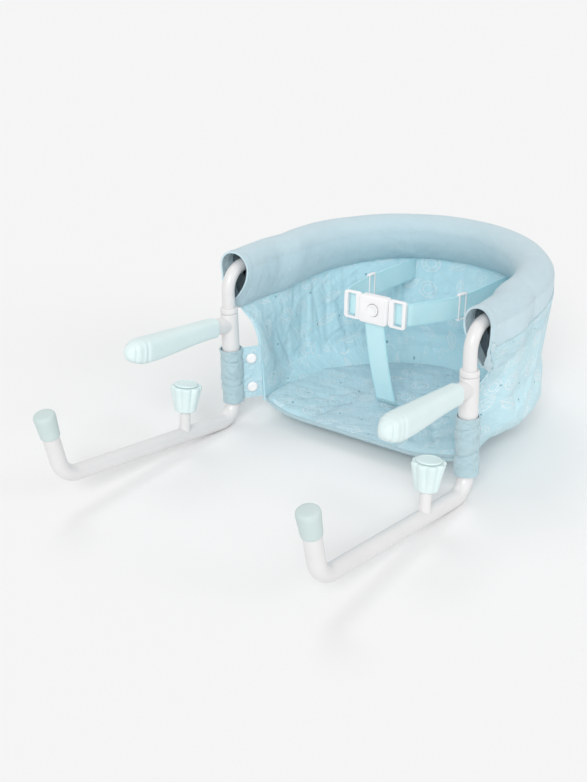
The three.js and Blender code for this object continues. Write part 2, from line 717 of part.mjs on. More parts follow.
for (const [side, sign] of [["left", -1], ["right", 1]]) {
  const arm = new THREE.Group();
  arm.position.x = sign * postX;
  arm.rotation.z = sign * ARM_SPLAY;
  chair.add(arm);
  add(`${side}_lower_arm`, lowerArm(), whitePaint, arm);
  add(`${side}_arm_tee`, armTee(), whitePlastic, arm);
  add(`${side}_pivot_bush`, pivotBush(), whitePlastic, arm);
  add(`${side}_swivel_rivet`, swivelRivet(), steel, arm);
  add(`${side}_arm_grip`, armGrip(), mintPlastic, arm.add(upperFrame.clone()).children.at(-1));
  add(`${side}_hook_cap`, hookCap(), mintRubber, arm.add(hookFrame.clone()).children.at(-1));
  const clamp = arm.add(clampFrame.clone()).children.at(-1);
  add(`${side}_clamp_boss`, clampBoss(), whitePlastic, clamp);
  add(`${side}_clamp_screw`, clampScrew(), steel, clamp);
  add(`${side}_clamp_knob`, clampKnob(), mintPlastic, clamp);
  add(`${side}_clamp_pad`, clampPad(), mintRubber, clamp);
}

// Harness: a frame at the anchors under the roll, tilted so that the straps rise to the buckle

const anchorX = ANCHOR_SPACING / 2;
const backHalf = postX - RIM_NARROWING;
const anchorY = RIM_SIDE_LENGTH + RIM_BACK_DEPTH * Math.sqrt(1 - (anchorX / backHalf) ** 2);
const harness = new THREE.Group();
harness.position.set(0, anchorY, ANCHOR_HEIGHT);
harness.rotation.x = -HARNESS_RISE;
chair.add(harness);

const buckle = new THREE.Group();
buckle.position.set(BUCKLE_OFFSET, -BUCKLE_REACH, 0);
harness.add(buckle);

const tongueRoot = BUCKLE_LENGTH / 2 + TOUCH_GAP;
const tongueEnd = tongueRoot + TONGUE_LENGTH;
const slotMiddle = tongueEnd - TONGUE_BAR - TONGUE_SLOT / 2;

// The waist strap's plan in the harness frame, from the wall to the slot of its tongue
function waistCurve(sign) {
  const lean = (STRAP_WIDTH / 2) * Math.sin(HARNESS_RISE) + 2 * STRAP_THICKNESS;
  const behind = TONGUE_THICKNESS + 2 * STRAP_THICKNESS;
  const atAnchor = (inwards, y) => new THREE.Vector2(sign * (anchorX - inwards), y);
  const atBuckle = (x, back) => new THREE.Vector2(BUCKLE_OFFSET + sign * x, back - BUCKLE_REACH);
  return new THREE.SplineCurve([
    atAnchor(0, wallInner - lean),
    atAnchor(STRAP_BELLY / 2, wallInner - lean - ANCHOR_RUN),
    atAnchor(STRAP_BELLY, -BUCKLE_REACH * 0.6),
    atBuckle(tongueEnd + STRAP_RETURN / 2, behind + STRAP_RETURN),
    atBuckle(tongueEnd - TONGUE_BAR / 2, behind),
    atBuckle(slotMiddle, 0),
  ]);
}

function waistStrap(sign) {
  const strip = stripShape(waistCurve(sign).getSpacedPoints(STRAP_STEPS), STRAP_THICKNESS);
  return prism(strip, -STRAP_WIDTH / 2, STRAP_WIDTH / 2);
}

function strapSlider() {
  const opening = STRAP_THICKNESS + 2 * TOUCH_GAP;
  const frame = block(opening + 2 * SLIDER_FRAME, SLIDER_DEPTH, STRAP_WIDTH + 2 * SLIDER_FRAME);
  return cut(frame, block(opening, 2 * SLIDER_DEPTH, STRAP_WIDTH + 2 * TOUCH_GAP));
}

function buckleTongue(sign) {
  const yoke = plate(roundedRectangle(TONGUE_LENGTH, BUCKLE_HEIGHT, BUCKLE_CORNER),
    -TONGUE_THICKNESS / 2, TONGUE_THICKNESS / 2).translate(tongueRoot + TONGUE_LENGTH / 2, 0, 0);
  const blade = block(BLADE_LENGTH + BUCKLE_CORNER, BLADE_THICKNESS, BLADE_HEIGHT,
    tongueRoot + (BUCKLE_CORNER - BLADE_LENGTH) / 2, 0, 0);
  const slot = block(TONGUE_SLOT, 4 * TONGUE_THICKNESS, STRAP_WIDTH + 2 * TOUCH_GAP, slotMiddle, 0, 0);
  const tongue = cut(join(yoke, blade), slot);
  return sign < 0 ? tongue.rotateZ(Math.PI) : tongue;
}

function buckleBody() {
  const half = BUCKLE_THICKNESS / 2;
  const shell = plate(roundedRectangle(BUCKLE_LENGTH, BUCKLE_HEIGHT, BUCKLE_CORNER), -half, half);
  const room = (sign) => block(BLADE_LENGTH + 2 * TOUCH_GAP, BLADE_THICKNESS + 2 * TOUCH_GAP,
    BLADE_HEIGHT + 2 * TOUCH_GAP, sign * (BUCKLE_LENGTH - BLADE_LENGTH) / 2, 0, 0);
  const buttonDepth = BUTTON_THICKNESS - BUTTON_PROUD + BUTTON_TRAVEL + TOUCH_GAP;
  const buttonRoom = drill(BUTTON_DIAMETER / 2 + RUNNING_GAP, half - buttonDepth, half + BUTTON_THICKNESS);
  return cut(shell, room(-1), room(1), buttonRoom.rotateX(Math.PI / 2));
}

function buckleButton() {
  const face = BUCKLE_THICKNESS / 2 + BUTTON_PROUD;
  const radius = BUTTON_DIAMETER / 2;
  const profile = [[0, face - BUTTON_THICKNESS], [radius, face - BUTTON_THICKNESS],
    [radius, face - BUTTON_PROUD / 2], [radius * 0.9, face], [0, face]];
  return turned(profile).rotateX(Math.PI / 2);
}

// The crotch strap stands on the floor, sewn down behind its bend, and ends under the buckle
function crotchStrap() {
  harness.updateMatrix();
  const foot = floorTop + TOUCH_GAP + STRAP_THICKNESS / 2;
  const top = new THREE.Vector3(0, -BUCKLE_REACH, -BUCKLE_HEIGHT / 2 - TOUCH_GAP).applyMatrix4(harness.matrix);
  const sewnEnd = new THREE.Vector3(0, CROTCH_FRONT + CROTCH_SEWN_LENGTH, foot);
  const route = bentStations([sewnEnd, new THREE.Vector3(0, CROTCH_FRONT, foot), top], [CROTCH_BEND_RADIUS]);
  const strip = stripShape(route.map((place) => new THREE.Vector2(place.y, place.z)), STRAP_THICKNESS);
  const across = new THREE.Matrix4().makeBasis(
    new THREE.Vector3(0, 1, 0), new THREE.Vector3(0, 0, 1), new THREE.Vector3(1, 0, 0));
  const [first, last] = [BUCKLE_OFFSET - STRAP_WIDTH / 2, BUCKLE_OFFSET + STRAP_WIDTH / 2];
  return prism(strip, first, last).applyMatrix4(across);
}

for (const [side, sign] of [["left", -1], ["right", 1]]) {
  const curve = waistCurve(sign);
  add(`${side}_waist_strap`, waistStrap(sign), webbing, harness);
  add(`${side}_buckle_tongue`, buckleTongue(sign), whitePlastic, buckle);
  const slider = add(`${side}_strap_slider`, strapSlider(), whitePlastic, harness);
  const share = SLIDER_REACH / curve.getLength();
  const place = curve.getPointAt(share);
  const along = curve.getTangentAt(share);
  slider.position.set(place.x, place.y, 0);
  slider.rotation.z = Math.atan2(along.y, along.x) - Math.PI / 2;
}
add("buckle_body", buckleBody(), whitePlastic, buckle);
add("buckle_button", buckleButton(), whitePlastic, buckle);
add("crotch_strap", crotchStrap(), webbing);

// The origin lies on the ground under the middle of the chair's box
const box = new THREE.Box3().setFromObject(chair, true);
chair.position.set(0, -(box.min.y + box.max.y) / 2, -box.min.z);

export default chair;
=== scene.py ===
"""Looks of the hook-on table chair: painted tube, moulded fittings, padded roll, cloth seat and harness."""

import math
from contextlib import contextmanager

import bpy
from mathutils import Matrix, Vector, noise


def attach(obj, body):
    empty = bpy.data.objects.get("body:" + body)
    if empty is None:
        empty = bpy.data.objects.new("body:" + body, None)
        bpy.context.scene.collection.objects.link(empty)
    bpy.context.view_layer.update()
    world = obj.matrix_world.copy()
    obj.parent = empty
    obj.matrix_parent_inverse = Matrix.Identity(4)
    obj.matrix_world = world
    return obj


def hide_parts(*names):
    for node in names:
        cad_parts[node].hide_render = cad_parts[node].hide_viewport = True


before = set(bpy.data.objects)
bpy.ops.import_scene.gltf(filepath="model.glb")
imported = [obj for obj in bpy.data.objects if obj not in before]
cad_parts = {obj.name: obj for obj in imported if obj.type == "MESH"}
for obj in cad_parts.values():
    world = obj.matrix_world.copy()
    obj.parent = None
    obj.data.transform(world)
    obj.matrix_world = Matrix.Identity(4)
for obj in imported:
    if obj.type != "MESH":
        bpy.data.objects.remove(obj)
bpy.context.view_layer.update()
scene = bpy.context.scene
scene.view_settings.view_transform = "Standard"

# The chair is modelled with its posts on the line y = 0 and then set down in the part's frame
SET_DOWN = Matrix.Translation((0, 0.00423, -0.00051))
SIDES = {"left": -1, "right": 1}

# Rim, roll, wall and floor
POST_X = 0.170
RIM_RADIUS = 0.008
RIM_HEIGHT = 0.204
RIM_BEND = 0.028
RIM_STRAIGHT = 0.072
RIM_SIDE = 0.116
RIM_DEPTH = 0.167
RIM_NARROWING = 0.008
LEG_BOTTOM = 0.062
ROLL_HALF = 0.0205
ROLL_RISE = 0.0175
ROLL_END_DROP = 0.047
ROLL_FRONT_DROP = 0.057
ROLL_BACK_DROP = 0.040
ROLL_FRONT = 0.014
ROLL_CLOTH = 0.0024
ROLL_FULLNESS = 0.95
SEAM_OFFSET = 0.008
WALL_CLOTH = 0.0024
WALL_FRONT = 0.031
WALL_TUCK = 0.034
WALL_KNEE = 0.050
WALL_SPREAD = 0.006
FRONT_TUCK = 0.030
FLOOR_HEIGHT = 0.017
FLOOR_TOP = 0.0276
FLOOR_FRONT = 0.018
FLOOR_CORNER_X = 0.100
FLOOR_CORNER_Y = 0.036
PAD_BOTTOM = 0.0222
EDGE_LIFT = 0.007
BACK_SEAM_REACH = 0.090
BAND_HEIGHT = 0.030
BAND_REACH = 0.055

# Sleeves and press studs
SLEEVE_RADIUS = 0.01375
SLEEVE_BOTTOM = 0.031
SLEEVE_TOP = 0.102
FLAP_TURN = math.radians(38)
FLAP_END = 0.038
FLAP_THICKNESS = 0.0025
SNAP_RADIUS = 0.007
SNAP_REACH = 0.025
SNAP_HEIGHTS = {"upper": 0.086, "lower": 0.047}

# Arms
ARM_RISE = math.radians(8)
ARM_SPLAY = math.radians(1.3)
ARM_RADIUS = 0.0095
POST_BEND = 0.024
ARM_LENGTH = 0.288
HOOK_BEND = 0.030
HOOK_LEAN = math.radians(11)
HOOK_HEIGHT = 0.085
CAP_HEIGHT = 0.030
CAP_TOP = 0.004
TEE_RADIUS = 0.011
TEE_BOTTOM = 0.098
TEE_TOP = 0.150
BUSH_HEIGHT = 0.007
UPPER_ARM_HEIGHT = 0.135
GRIP_START = 0.0303
GRIP_END = 0.177
CLAMP_DISTANCE = 0.093
BOSS_TOP = 0.0315
KNOB_FOOT = 0.0318
KNOB_TOP = 0.0638

# Harness
STRAP_WIDTH = 0.028
STRAP_CLOTH = 0.0016
STRAP_STEPS = 110
ANCHOR_X = 0.070
ANCHOR_HEIGHT = 0.150
HARNESS_RISE = math.radians(4)
BUCKLE_REACH = 0.187
BUCKLE_OFFSET = -0.007
BUCKLE_LENGTH = 0.040
BUCKLE_HEIGHT = 0.0345
BUCKLE_THICKNESS = 0.013
TONGUE_LENGTH = 0.024
TONGUE_THICKNESS = 0.005
TONGUE_ROOT = 0.0203
TONGUE_END = 0.0443
SLOT_MIDDLE = 0.0333
SLOT_WIDTH = 0.012
SLIDER_REACH = 0.112
CROTCH_FRONT = 0.106
CROTCH_SEWN = 0.022


# Materials


class Value:
    """A socket of a finish's node tree, whose arithmetic adds Math nodes."""

    def __init__(self, finish, socket):
        self.finish = finish
        self.socket = socket

    def math(self, operation, *others):
        sockets = dict(enumerate((self, *others)))
        return self.finish.node("ShaderNodeMath", {"operation": operation}, sockets)

    def __add__(self, other):
        return self.math("ADD", other)

    __radd__ = __add__

    def __sub__(self, other):
        return self.math("SUBTRACT", other)

    def __rsub__(self, other):
        return self.finish.node("ShaderNodeMath", {"operation": "SUBTRACT"}, {0: other, 1: self})

    def __mul__(self, other):
        return self.math("MULTIPLY", other)

    __rmul__ = __mul__

    def __truediv__(self, other):
        return self.math("DIVIDE", other)

    def step(self, low, high):
        """Rises smoothly from 0 at low to 1 at high."""
        sockets = {"Value": self, "From Min": low, "From Max": high}
        return self.finish.node("ShaderNodeMapRange", {"interpolation_type": "SMOOTHSTEP"}, sockets)

    def near(self, middle, width, soft):
        """1 within half the width of the middle, fading out over the soft distance."""
        return 1 - (self - middle).math("ABSOLUTE").step(width / 2, width / 2 + soft)

    def drawn(self, middle=0):
        """A thin printed line at the middle."""
        return self.near(middle, 0.03, 0.05)

    def wave(self, pitch):
        """A wave between 0 and 1 that comes round once in each pitch."""
        return (self * (2 * math.pi / pitch)).math("SINE") * 0.5 + 0.5


class Finish:
    """A material with one shader, built from expressions."""

    def __init__(self, name, roughness, **fixed):
        self.material = bpy.data.materials.new(name)
        self.material.use_nodes = True
        self.tree = self.material.node_tree
        self.shader = self.tree.nodes["Principled BSDF"]
        self.shader.inputs["Roughness"].default_value = roughness
        for socket, value in fixed.items():
            self.shader.inputs[socket.replace("_", " ")].default_value = value

    def node(self, kind, settings=None, sockets=None, output=0):
        made = self.tree.nodes.new(kind)
        for name, value in (settings or {}).items():
            setattr(made, name, value)
        for name, value in (sockets or {}).items():
            self.feed(made.inputs[name], value)
        return Value(self, made.outputs[output])

    def feed(self, socket, value):
        if isinstance(value, Value):
            self.tree.links.new(value.socket, socket)
        else:
            socket.default_value = value

    def set(self, socket, value):
        self.feed(self.shader.inputs[socket], value)

    def place(self):
        return self.node("ShaderNodeTexCoord", output="Object")

    def cloth_place(self):
        return self.node("ShaderNodeTexCoord", output="UV")

    def parts(self, vector):
        split = self.node("ShaderNodeSeparateXYZ", None, {0: vector})
        return [Value(self, socket) for socket in split.socket.node.outputs]

    def blotches(self, vector, size, detail=2.0, roughness=0.5):
        sockets = {"Vector": vector, "Scale": 1 / size, "Detail": detail, "Roughness": roughness}
        return self.node("ShaderNodeTexNoise", None, sockets, output="Fac")

    def flat(self, across, along):
        return self.node("ShaderNodeCombineXYZ", None, {0: across, 1: along})

    def scattered(self, vector, cell, randomness, output):
        """Points scattered over a flat map, one to a cell."""
        settings = {"voronoi_dimensions": "2D", "feature": "F1"}
        sockets = {"Vector": vector, "Scale": 1 / cell, "Randomness": randomness}
        return self.node("ShaderNodeTexVoronoi", settings, sockets, output=output)

    def mix(self, share, first, second):
        """A colour between two."""
        made = self.tree.nodes.new("ShaderNodeMix")
        made.data_type = "RGBA"
        made.clamp_factor = True
        colours = [socket for socket in made.inputs if socket.type == "RGBA"]
        self.feed(made.inputs[0], share)
        self.feed(colours[0], first)
        self.feed(colours[1], second)
        return Value(self, next(socket for socket in made.outputs if socket.type == "RGBA"))

    def colour(self, share, dark, light):
        self.set("Base Color", self.mix(share, dark, light))

    def bump(self, height, depth):
        sockets = {"Height": height, "Distance": depth, "Strength": 1.0}
        self.set("Normal", self.node("ShaderNodeBump", None, sockets, output="Normal"))


def shade(red, green, blue):
    """A colour written as on screen, from 0 to 255, as the shader reads it."""
    def linear(part):
        part /= 255
        return part / 12.92 if part < 0.04045 else ((part + 0.055) / 1.055) ** 2.4
    return (linear(red), linear(green), linear(blue), 1.0)


def paint_finish():
    finish = Finish("white_paint", 0.34, Coat_Weight=0.25, Coat_Roughness=0.2)
    place = finish.place()
    finish.colour(finish.blotches(place, size=0.06, detail=3.0), shade(219, 218, 218), shade(231, 230, 230))
    finish.set("Roughness", 0.28 + finish.blotches(place, size=0.02) * 0.14)
    finish.bump(finish.blotches(place, size=0.0016), depth=0.00004)
    return finish.material


def moulded_finish(name, dark, light, roughness, grain, depth, **fixed):
    finish = Finish(name, roughness, **fixed)
    place = finish.place()
    cloud = finish.blotches(place, size=0.03, detail=3.0)
    speck = finish.blotches(place, size=grain)
    finish.colour(cloud * 0.7 + speck * 0.3, dark, light)
    finish.set("Roughness", (roughness - 0.06) + cloud * 0.12)
    finish.bump(speck, depth=depth)
    return finish.material


def leaf_lines(u, v):
    """A leaf's edge, rib and veins."""
    beside = v.math("ABSOLUTE")
    reach = u.math("ABSOLUTE")
    bow = u * u * 0.46
    edge = (beside - (0.46 - bow)).drawn() * (1 - reach.step(1.0, 1.05))
    rib = v.drawn() * (1 - reach.step(1.2, 1.3))
    veins = ((u - beside * 0.9) * 16).math("SINE").step(0.75, 0.98)
    within = 1 - (beside - (0.44 - bow)).step(-0.04, 0.02)
    return edge.math("MAXIMUM", rib).math("MAXIMUM", veins * within * 0.8)


def wheel_lines(distance, bearing):
    """Two rings with spokes between them."""
    rings = distance.drawn(0.82).math("MAXIMUM", distance.drawn(0.45))
    spokes = (bearing * 9).math("SINE").step(0.86, 0.97) * distance.near(0.64, 0.26, 0.05)
    return rings.math("MAXIMUM", spokes)


def bloom_lines(distance, bearing):
    """Five petals round a heart."""
    petals = distance - (0.62 + (bearing * 5).math("COSINE") * 0.26)
    return petals.drawn().math("MAXIMUM", distance.drawn(0.2))


def print_lines(finish, across, along):
    """A pale printed pattern of leaves, rings and petals, one to a cell, with dots between."""
    motif_cell = 0.036
    dot_cell = 0.019
    flat = finish.flat(across, along)
    chance = finish.scattered(flat, motif_cell, randomness=0.55, output="Color")
    centre = finish.scattered(flat, motif_cell, randomness=0.55, output="Position")
    pick, turn, grow = finish.parts(chance)
    centre_across, centre_along, _ = finish.parts(centre)
    x = across - centre_across
    y = along - centre_along
    angle = turn * (2 * math.pi)
    cosine = angle.math("COSINE")
    sine = angle.math("SINE")
    size = 0.0105 + grow * 0.005
    u = (x * cosine + y * sine) / size
    v = (y * cosine - x * sine) / size
    distance = (u * u + v * v).math("SQRT")
    bearing = v.math("ARCTAN2", u)
    is_leaf = 1 - pick.step(0.40, 0.401)
    is_bloom = pick.step(0.70, 0.701)
    is_wheel = (1 - is_leaf) * (1 - is_bloom)
    motifs = leaf_lines(u, v) * is_leaf + bloom_lines(distance, bearing) * is_bloom
    motifs = motifs + wheel_lines(distance, bearing) * is_wheel
    from_dot = finish.scattered(flat, dot_cell, randomness=0.8, output="Distance")
    dots = (1 - from_dot.step(0.04, 0.065)) * distance.step(1.25, 1.35)
    return motifs.math("MAXIMUM", dots * 0.8)


def cloth_finish(name, dark, light, pale=None, worn=0.5, flank=None):
    """Woven cloth with creases: printed where a pale ink is given, and with its own colours on its flanks."""
    thread_pitch = 0.0011
    mark_cell = 0.055
    finish = Finish(name, 0.65, Sheen_Weight=0.3, Sheen_Roughness=0.5)
    across, along, _ = finish.parts(finish.cloth_place())
    place = finish.place()
    warp = (across * (2 * math.pi / thread_pitch)).math("SINE")
    weft = (along * (2 * math.pi / thread_pitch)).math("SINE")
    weave = warp * weft * 0.5 + 0.5
    cloud = finish.blotches(place, size=0.045, detail=4.0, roughness=0.6)
    slub = finish.blotches(place, size=0.004, detail=3.0, roughness=0.7)
    tone = cloud * 0.55 + slub * 0.25 + weave * 0.2
    colour = finish.mix(tone, dark, light)
    # Paler colours over the sides and front; on the floor the darker tone elsewhere is painted shade
    if flank:
        sideways, backwards, _ = finish.parts(place)
        beside = sideways.math("ABSOLUTE").step(0.048, 0.085) * (1 - backwards.step(0.13, 0.21))
        colour = finish.mix(beside, colour, finish.mix(tone, *flank))
    if pale:
        faded = finish.blotches(place, size=0.03).step(0.25, 0.6)
        ink = print_lines(finish, across, along) * (0.38 + faded * 0.42) * (0.8 + weave * 0.2)
        colour = finish.mix(ink, colour, pale)
        flat = finish.flat(across, along)
        from_mark = finish.scattered(flat, mark_cell, randomness=0.9, output="Distance")
        colour = finish.mix((1 - from_mark.step(0.022, 0.036)) * 0.7, colour, shade(92, 150, 168))
    finish.set("Base Color", colour)
    finish.set("Roughness", 0.40 + weave * 0.12 + cloud * 0.08)
    slanted = finish.flat(across + along * 0.6, (along - across * 0.6) * 0.3)
    steep = finish.flat((across + along * 0.4) * 0.25, along - across * 0.4)
    slanted_creases = finish.blotches(slanted, size=0.011, detail=3.0, roughness=0.55)
    steep_creases = finish.blotches(steep, size=0.014, detail=3.0, roughness=0.55)
    creases = slanted_creases + steep_creases
    finish.bump(weave * 0.05 + slub * 0.06 + creases * worn, depth=0.0055)
    return finish.material


def webbing_finish():
    rib_pitch = 0.0016
    pick_pitch = 0.0011
    finish = Finish("webbing", 0.7, Sheen_Weight=0.2, Sheen_Roughness=0.4)
    across, along, _ = finish.parts(finish.cloth_place())
    ribs = across.wave(rib_pitch)
    picks = (along + ribs * 0.0004).wave(pick_pitch)
    edge = (across - STRAP_WIDTH / 2).math("ABSOLUTE").step(STRAP_WIDTH * 0.40, STRAP_WIDTH * 0.46)
    cloud = finish.blotches(finish.place(), size=0.02, detail=3.0)
    tone = cloud * 0.4 + picks * 0.3 + ribs * 0.3
    finish.colour(tone - edge * 0.35, shade(184, 234, 243), shade(222, 249, 253))
    finish.set("Roughness", 0.62 + picks * 0.2)
    finish.bump(picks * 0.5 + ribs * 0.5, depth=0.0003)
    return finish.material


def thread_finish():
    finish = Finish("thread", 0.8)
    cloud = finish.blotches(finish.place(), size=0.002)
    finish.colour(cloud, shade(196, 224, 232), shade(226, 241, 246))
    finish.bump(cloud, depth=0.0002)
    return finish.material


def steel_finish():
    finish = Finish("steel", 0.32, Metallic=0.9)
    cloud = finish.blotches(finish.place(), size=0.002, detail=3.0)
    finish.colour(cloud, shade(164, 167, 171), shade(196, 198, 202))
    finish.set("Roughness", 0.26 + cloud * 0.14)
    return finish.material


def board_finish():
    finish = Finish("hardboard", 0.85)
    fibres = finish.blotches(finish.place(), size=0.003, detail=5.0, roughness=0.7)
    finish.colour(fibres, shade(126, 96, 66), shade(166, 134, 98))
    finish.bump(fibres, depth=0.0003)
    return finish.material


finishes = {
    "white_paint": paint_finish(),
    "white_plastic": moulded_finish("white_plastic", shade(238, 237, 238), shade(249, 248, 249),
                                    roughness=0.36, grain=0.0012, depth=0.00003, Coat_Weight=0.15),
    "mint_plastic": moulded_finish("mint_plastic", shade(212, 231, 231), shade(227, 240, 240),
                                   roughness=0.45, grain=0.0010, depth=0.00005),
    "mint_rubber": moulded_finish("mint_rubber", shade(190, 208, 206), shade(208, 222, 220),
                                  roughness=0.62, grain=0.0008, depth=0.00008),
    "roll_fabric": cloth_finish("roll_fabric", shade(186, 215, 226), shade(211, 231, 238), worn=0.22),
    "wall_fabric": cloth_finish("wall_fabric", shade(185, 228, 240), shade(217, 246, 253),
                                pale=shade(248, 252, 255), worn=0.45),
    # The floor's cloth is the wall's cloth in darker colours, which are painted shade; at its sides and front
    # it turns paler, near the wall's own colours
    "shaded_floor_fabric": cloth_finish("shaded_floor_fabric", shade(170, 209, 222), shade(204, 231, 241),
                                 pale=shade(238, 247, 251), worn=0.7,
                                 flank=(shade(180, 222, 235), shade(212, 242, 250))),
    "sleeve_fabric": cloth_finish("sleeve_fabric", shade(168, 200, 210), shade(196, 219, 226), worn=0.7),
    "webbing": webbing_finish(),
    "thread": thread_finish(),
    # Dark cloth for discs inside the roll's ends: painted shade for the hollow inside the roll
    "painted_shade_cloth": cloth_finish("painted_shade_cloth", shade(58, 80, 90), shade(84, 106, 116)),
    "steel": steel_finish(),
    "hardboard": board_finish(),
}

# Solids that keep their own shape
shown_as_built = {"floor_board": "hardboard"}
for side in SIDES:
    shown_as_built[f"{side}_swivel_rivet"] = "steel"
    shown_as_built[f"{side}_clamp_screw"] = "steel"
    shown_as_built[f"{side}_leg_plug"] = "white_plastic"
for node, kind in shown_as_built.items():
    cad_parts[node].data.materials.clear()
    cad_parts[node].data.materials.append(finishes[kind])


# Modelling by hand


def active(name):
    piece = bpy.context.object
    piece.name = name
    piece.data.name = name
    return piece


def only(piece):
    bpy.ops.object.select_all(action="DESELECT")
    piece.select_set(True)
    bpy.context.view_layer.objects.active = piece


@contextmanager
def editing(piece):
    """Edit mode on one piece, with all of it selected."""
    only(piece)
    bpy.ops.object.mode_set(mode="EDIT")
    bpy.ops.mesh.select_all(action="SELECT")
    yield
    bpy.ops.object.mode_set(mode="OBJECT")


def modify(piece, kind, **settings):
    only(piece)
    modifier = piece.modifiers.new(kind.lower(), kind)
    for name, value in settings.items():
        setattr(modifier, name, value)
    bpy.ops.object.modifier_apply(modifier=modifier.name)


def soft_shaded(piece, angle):
    only(piece)
    bpy.ops.object.shade_smooth_by_angle(angle=math.radians(angle))
    return piece


def smoothed(piece, angle=35):
    with editing(piece):
        bpy.ops.mesh.normals_make_consistent(inside=False)
    return soft_shaded(piece, angle)


def bevelled(piece, width, segments, angle):
    limit = math.radians(angle)
    modify(piece, "BEVEL", width=width, segments=segments, limit_method="ANGLE", angle_limit=limit)


def rounded(piece, width, segments):
    bevelled(piece, width, segments, angle=30)
    return smoothed(piece)


def subdivided(piece):
    modify(piece, "SUBSURF", levels=1, render_levels=1)
    return smoothed(piece, angle=50)


def cut(piece, cutter):
    modify(piece, "BOOLEAN", object=cutter, operation="DIFFERENCE", solver="EXACT")
    bpy.data.objects.remove(cutter)


def moved(piece, matrix):
    """Puts a piece in its place, in its mesh."""
    piece.data.transform(matrix)
    piece.data.update()
    return piece


def copied(piece, name, matrix):
    copy = piece.copy()
    copy.data = piece.data.copy()
    copy.name = name
    copy.data.name = name
    scene.collection.objects.link(copy)
    return moved(copy, matrix)


def joined(name, *pieces):
    only(pieces[0])
    for piece in pieces:
        piece.select_set(True)
    bpy.ops.object.join()
    return active(name)


def dress(piece, finish, body, *nodes, slot=None):
    """Sets a piece down in the part's frame, with its finish, body and the nodes it replaces. Its slot is not
    used.
    """
    moved(piece, SET_DOWN)
    piece.data.materials.clear()
    piece.data.materials.append(finishes[finish])
    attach(piece, body)
    if nodes:
        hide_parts(*nodes)


def turned(name, rings, sides=48):
    """A round piece about Z: a disc extruded from ring to ring, each with its radius and height."""
    radius, height = rings[0]
    start = (0, 0, height)
    bpy.ops.mesh.primitive_circle_add(vertices=sides, radius=radius, fill_type="NGON", location=start)
    piece = active(name)
    bpy.ops.object.transform_apply(location=True)
    with editing(piece):
        for next_radius, next_height in rings[1:]:
            bpy.ops.mesh.extrude_region_move(TRANSFORM_OT_translate={"value": (0, 0, next_height - height)})
            grow = next_radius / radius
            bpy.ops.transform.resize(value=(grow, grow, 1), center_override=(0, 0, next_height))
            radius, height = next_radius, next_height
    return smoothed(piece)


def block(name, width, thickness, height, x=0):
    """A box with its size along x, y and z."""
    bpy.ops.mesh.primitive_cube_add(size=1, location=(x, 0, 0))
    piece = active(name)
    piece.scale = (width, thickness, height)
    bpy.ops.object.transform_apply(location=True, scale=True)
    return piece


def bent_places(corners, bends, step=math.radians(6)):
    """Places along a tube through corners, each rounded to its bend radius."""
    places = [corners[0]]
    for i, radius in enumerate(bends):
        corner = corners[i + 1]
        back = (corners[i] - corner).normalized()
        ahead = (corners[i + 2] - corner).normalized()
        half = back.angle(ahead) / 2
        centre = corner + (back + ahead).normalized() * radius / math.sin(half)
        spoke = corner + back * radius / math.tan(half) - centre
        axis = ahead.cross(back).normalized()
        turn = math.pi - 2 * half
        steps = math.ceil(turn / step)
        places += [centre + Matrix.Rotation(turn * k / steps, 3, axis) @ spoke for k in range(steps + 1)]
    return places + [corners[-1]]


def threads(name, runs, radius, roundness):
    """Round threads, each along the places of its own run."""
    bpy.ops.curve.primitive_nurbs_path_add()
    path = active(name)
    path.location = (0, 0, 0)
    path.data.splines.clear()
    for places in runs:
        run = path.data.splines.new("POLY")
        run.points.add(len(places) - 1)
        for point, place in zip(run.points, places):
            point.co = (*place, 1)
    path.data.bevel_depth = radius
    path.data.bevel_resolution = roundness
    path.data.use_fill_caps = True
    bpy.ops.object.convert(target="MESH")
    return active(name)


def mapped(piece, rule):
    """Gives a piece a UV map in metres, by a rule from a point's place."""
    flat = piece.data.uv_layers.active or piece.data.uv_layers.new()
    for loop in piece.data.loops:
        flat.data[loop.index].uv = rule(piece.data.vertices[loop.vertex_index].co)
    return piece


def tube(name, places, radius):
    """A round tube along its places, closed at its ends."""
    piece = threads(name, [places], radius, roundness=8)
    return smoothed(mapped(piece, lambda spot: (spot.x + spot.y, spot.z)), angle=50)


def cloth(name, place, grid, flat=(1, 1), thickness=0.0, offset=0.0, closed=False, settle=None):
    """A sheet of cloth: a grid put in place by a rule of two shares, with its UV map in metres."""
    columns, rows = grid
    width, length = flat
    bpy.ops.mesh.primitive_grid_add(x_subdivisions=columns, y_subdivisions=rows, size=1)
    sheet = active(name)
    for corner in sheet.data.uv_layers.active.data:
        corner.uv = (corner.uv[1] * width, corner.uv[0] * length)
    spots = [(vertex.co.x + 0.5, vertex.co.y + 0.5) for vertex in sheet.data.vertices]
    for vertex, spot in zip(sheet.data.vertices, spots):
        vertex.co = place(*spot)
    if settle:
        settle(sheet, spots)
    if closed:
        with editing(sheet):
            bpy.ops.mesh.remove_doubles(threshold=1e-6)
    if thickness:
        modify(sheet, "SOLIDIFY", thickness=thickness, offset=offset)
    return soft_shaded(sheet, angle=50)


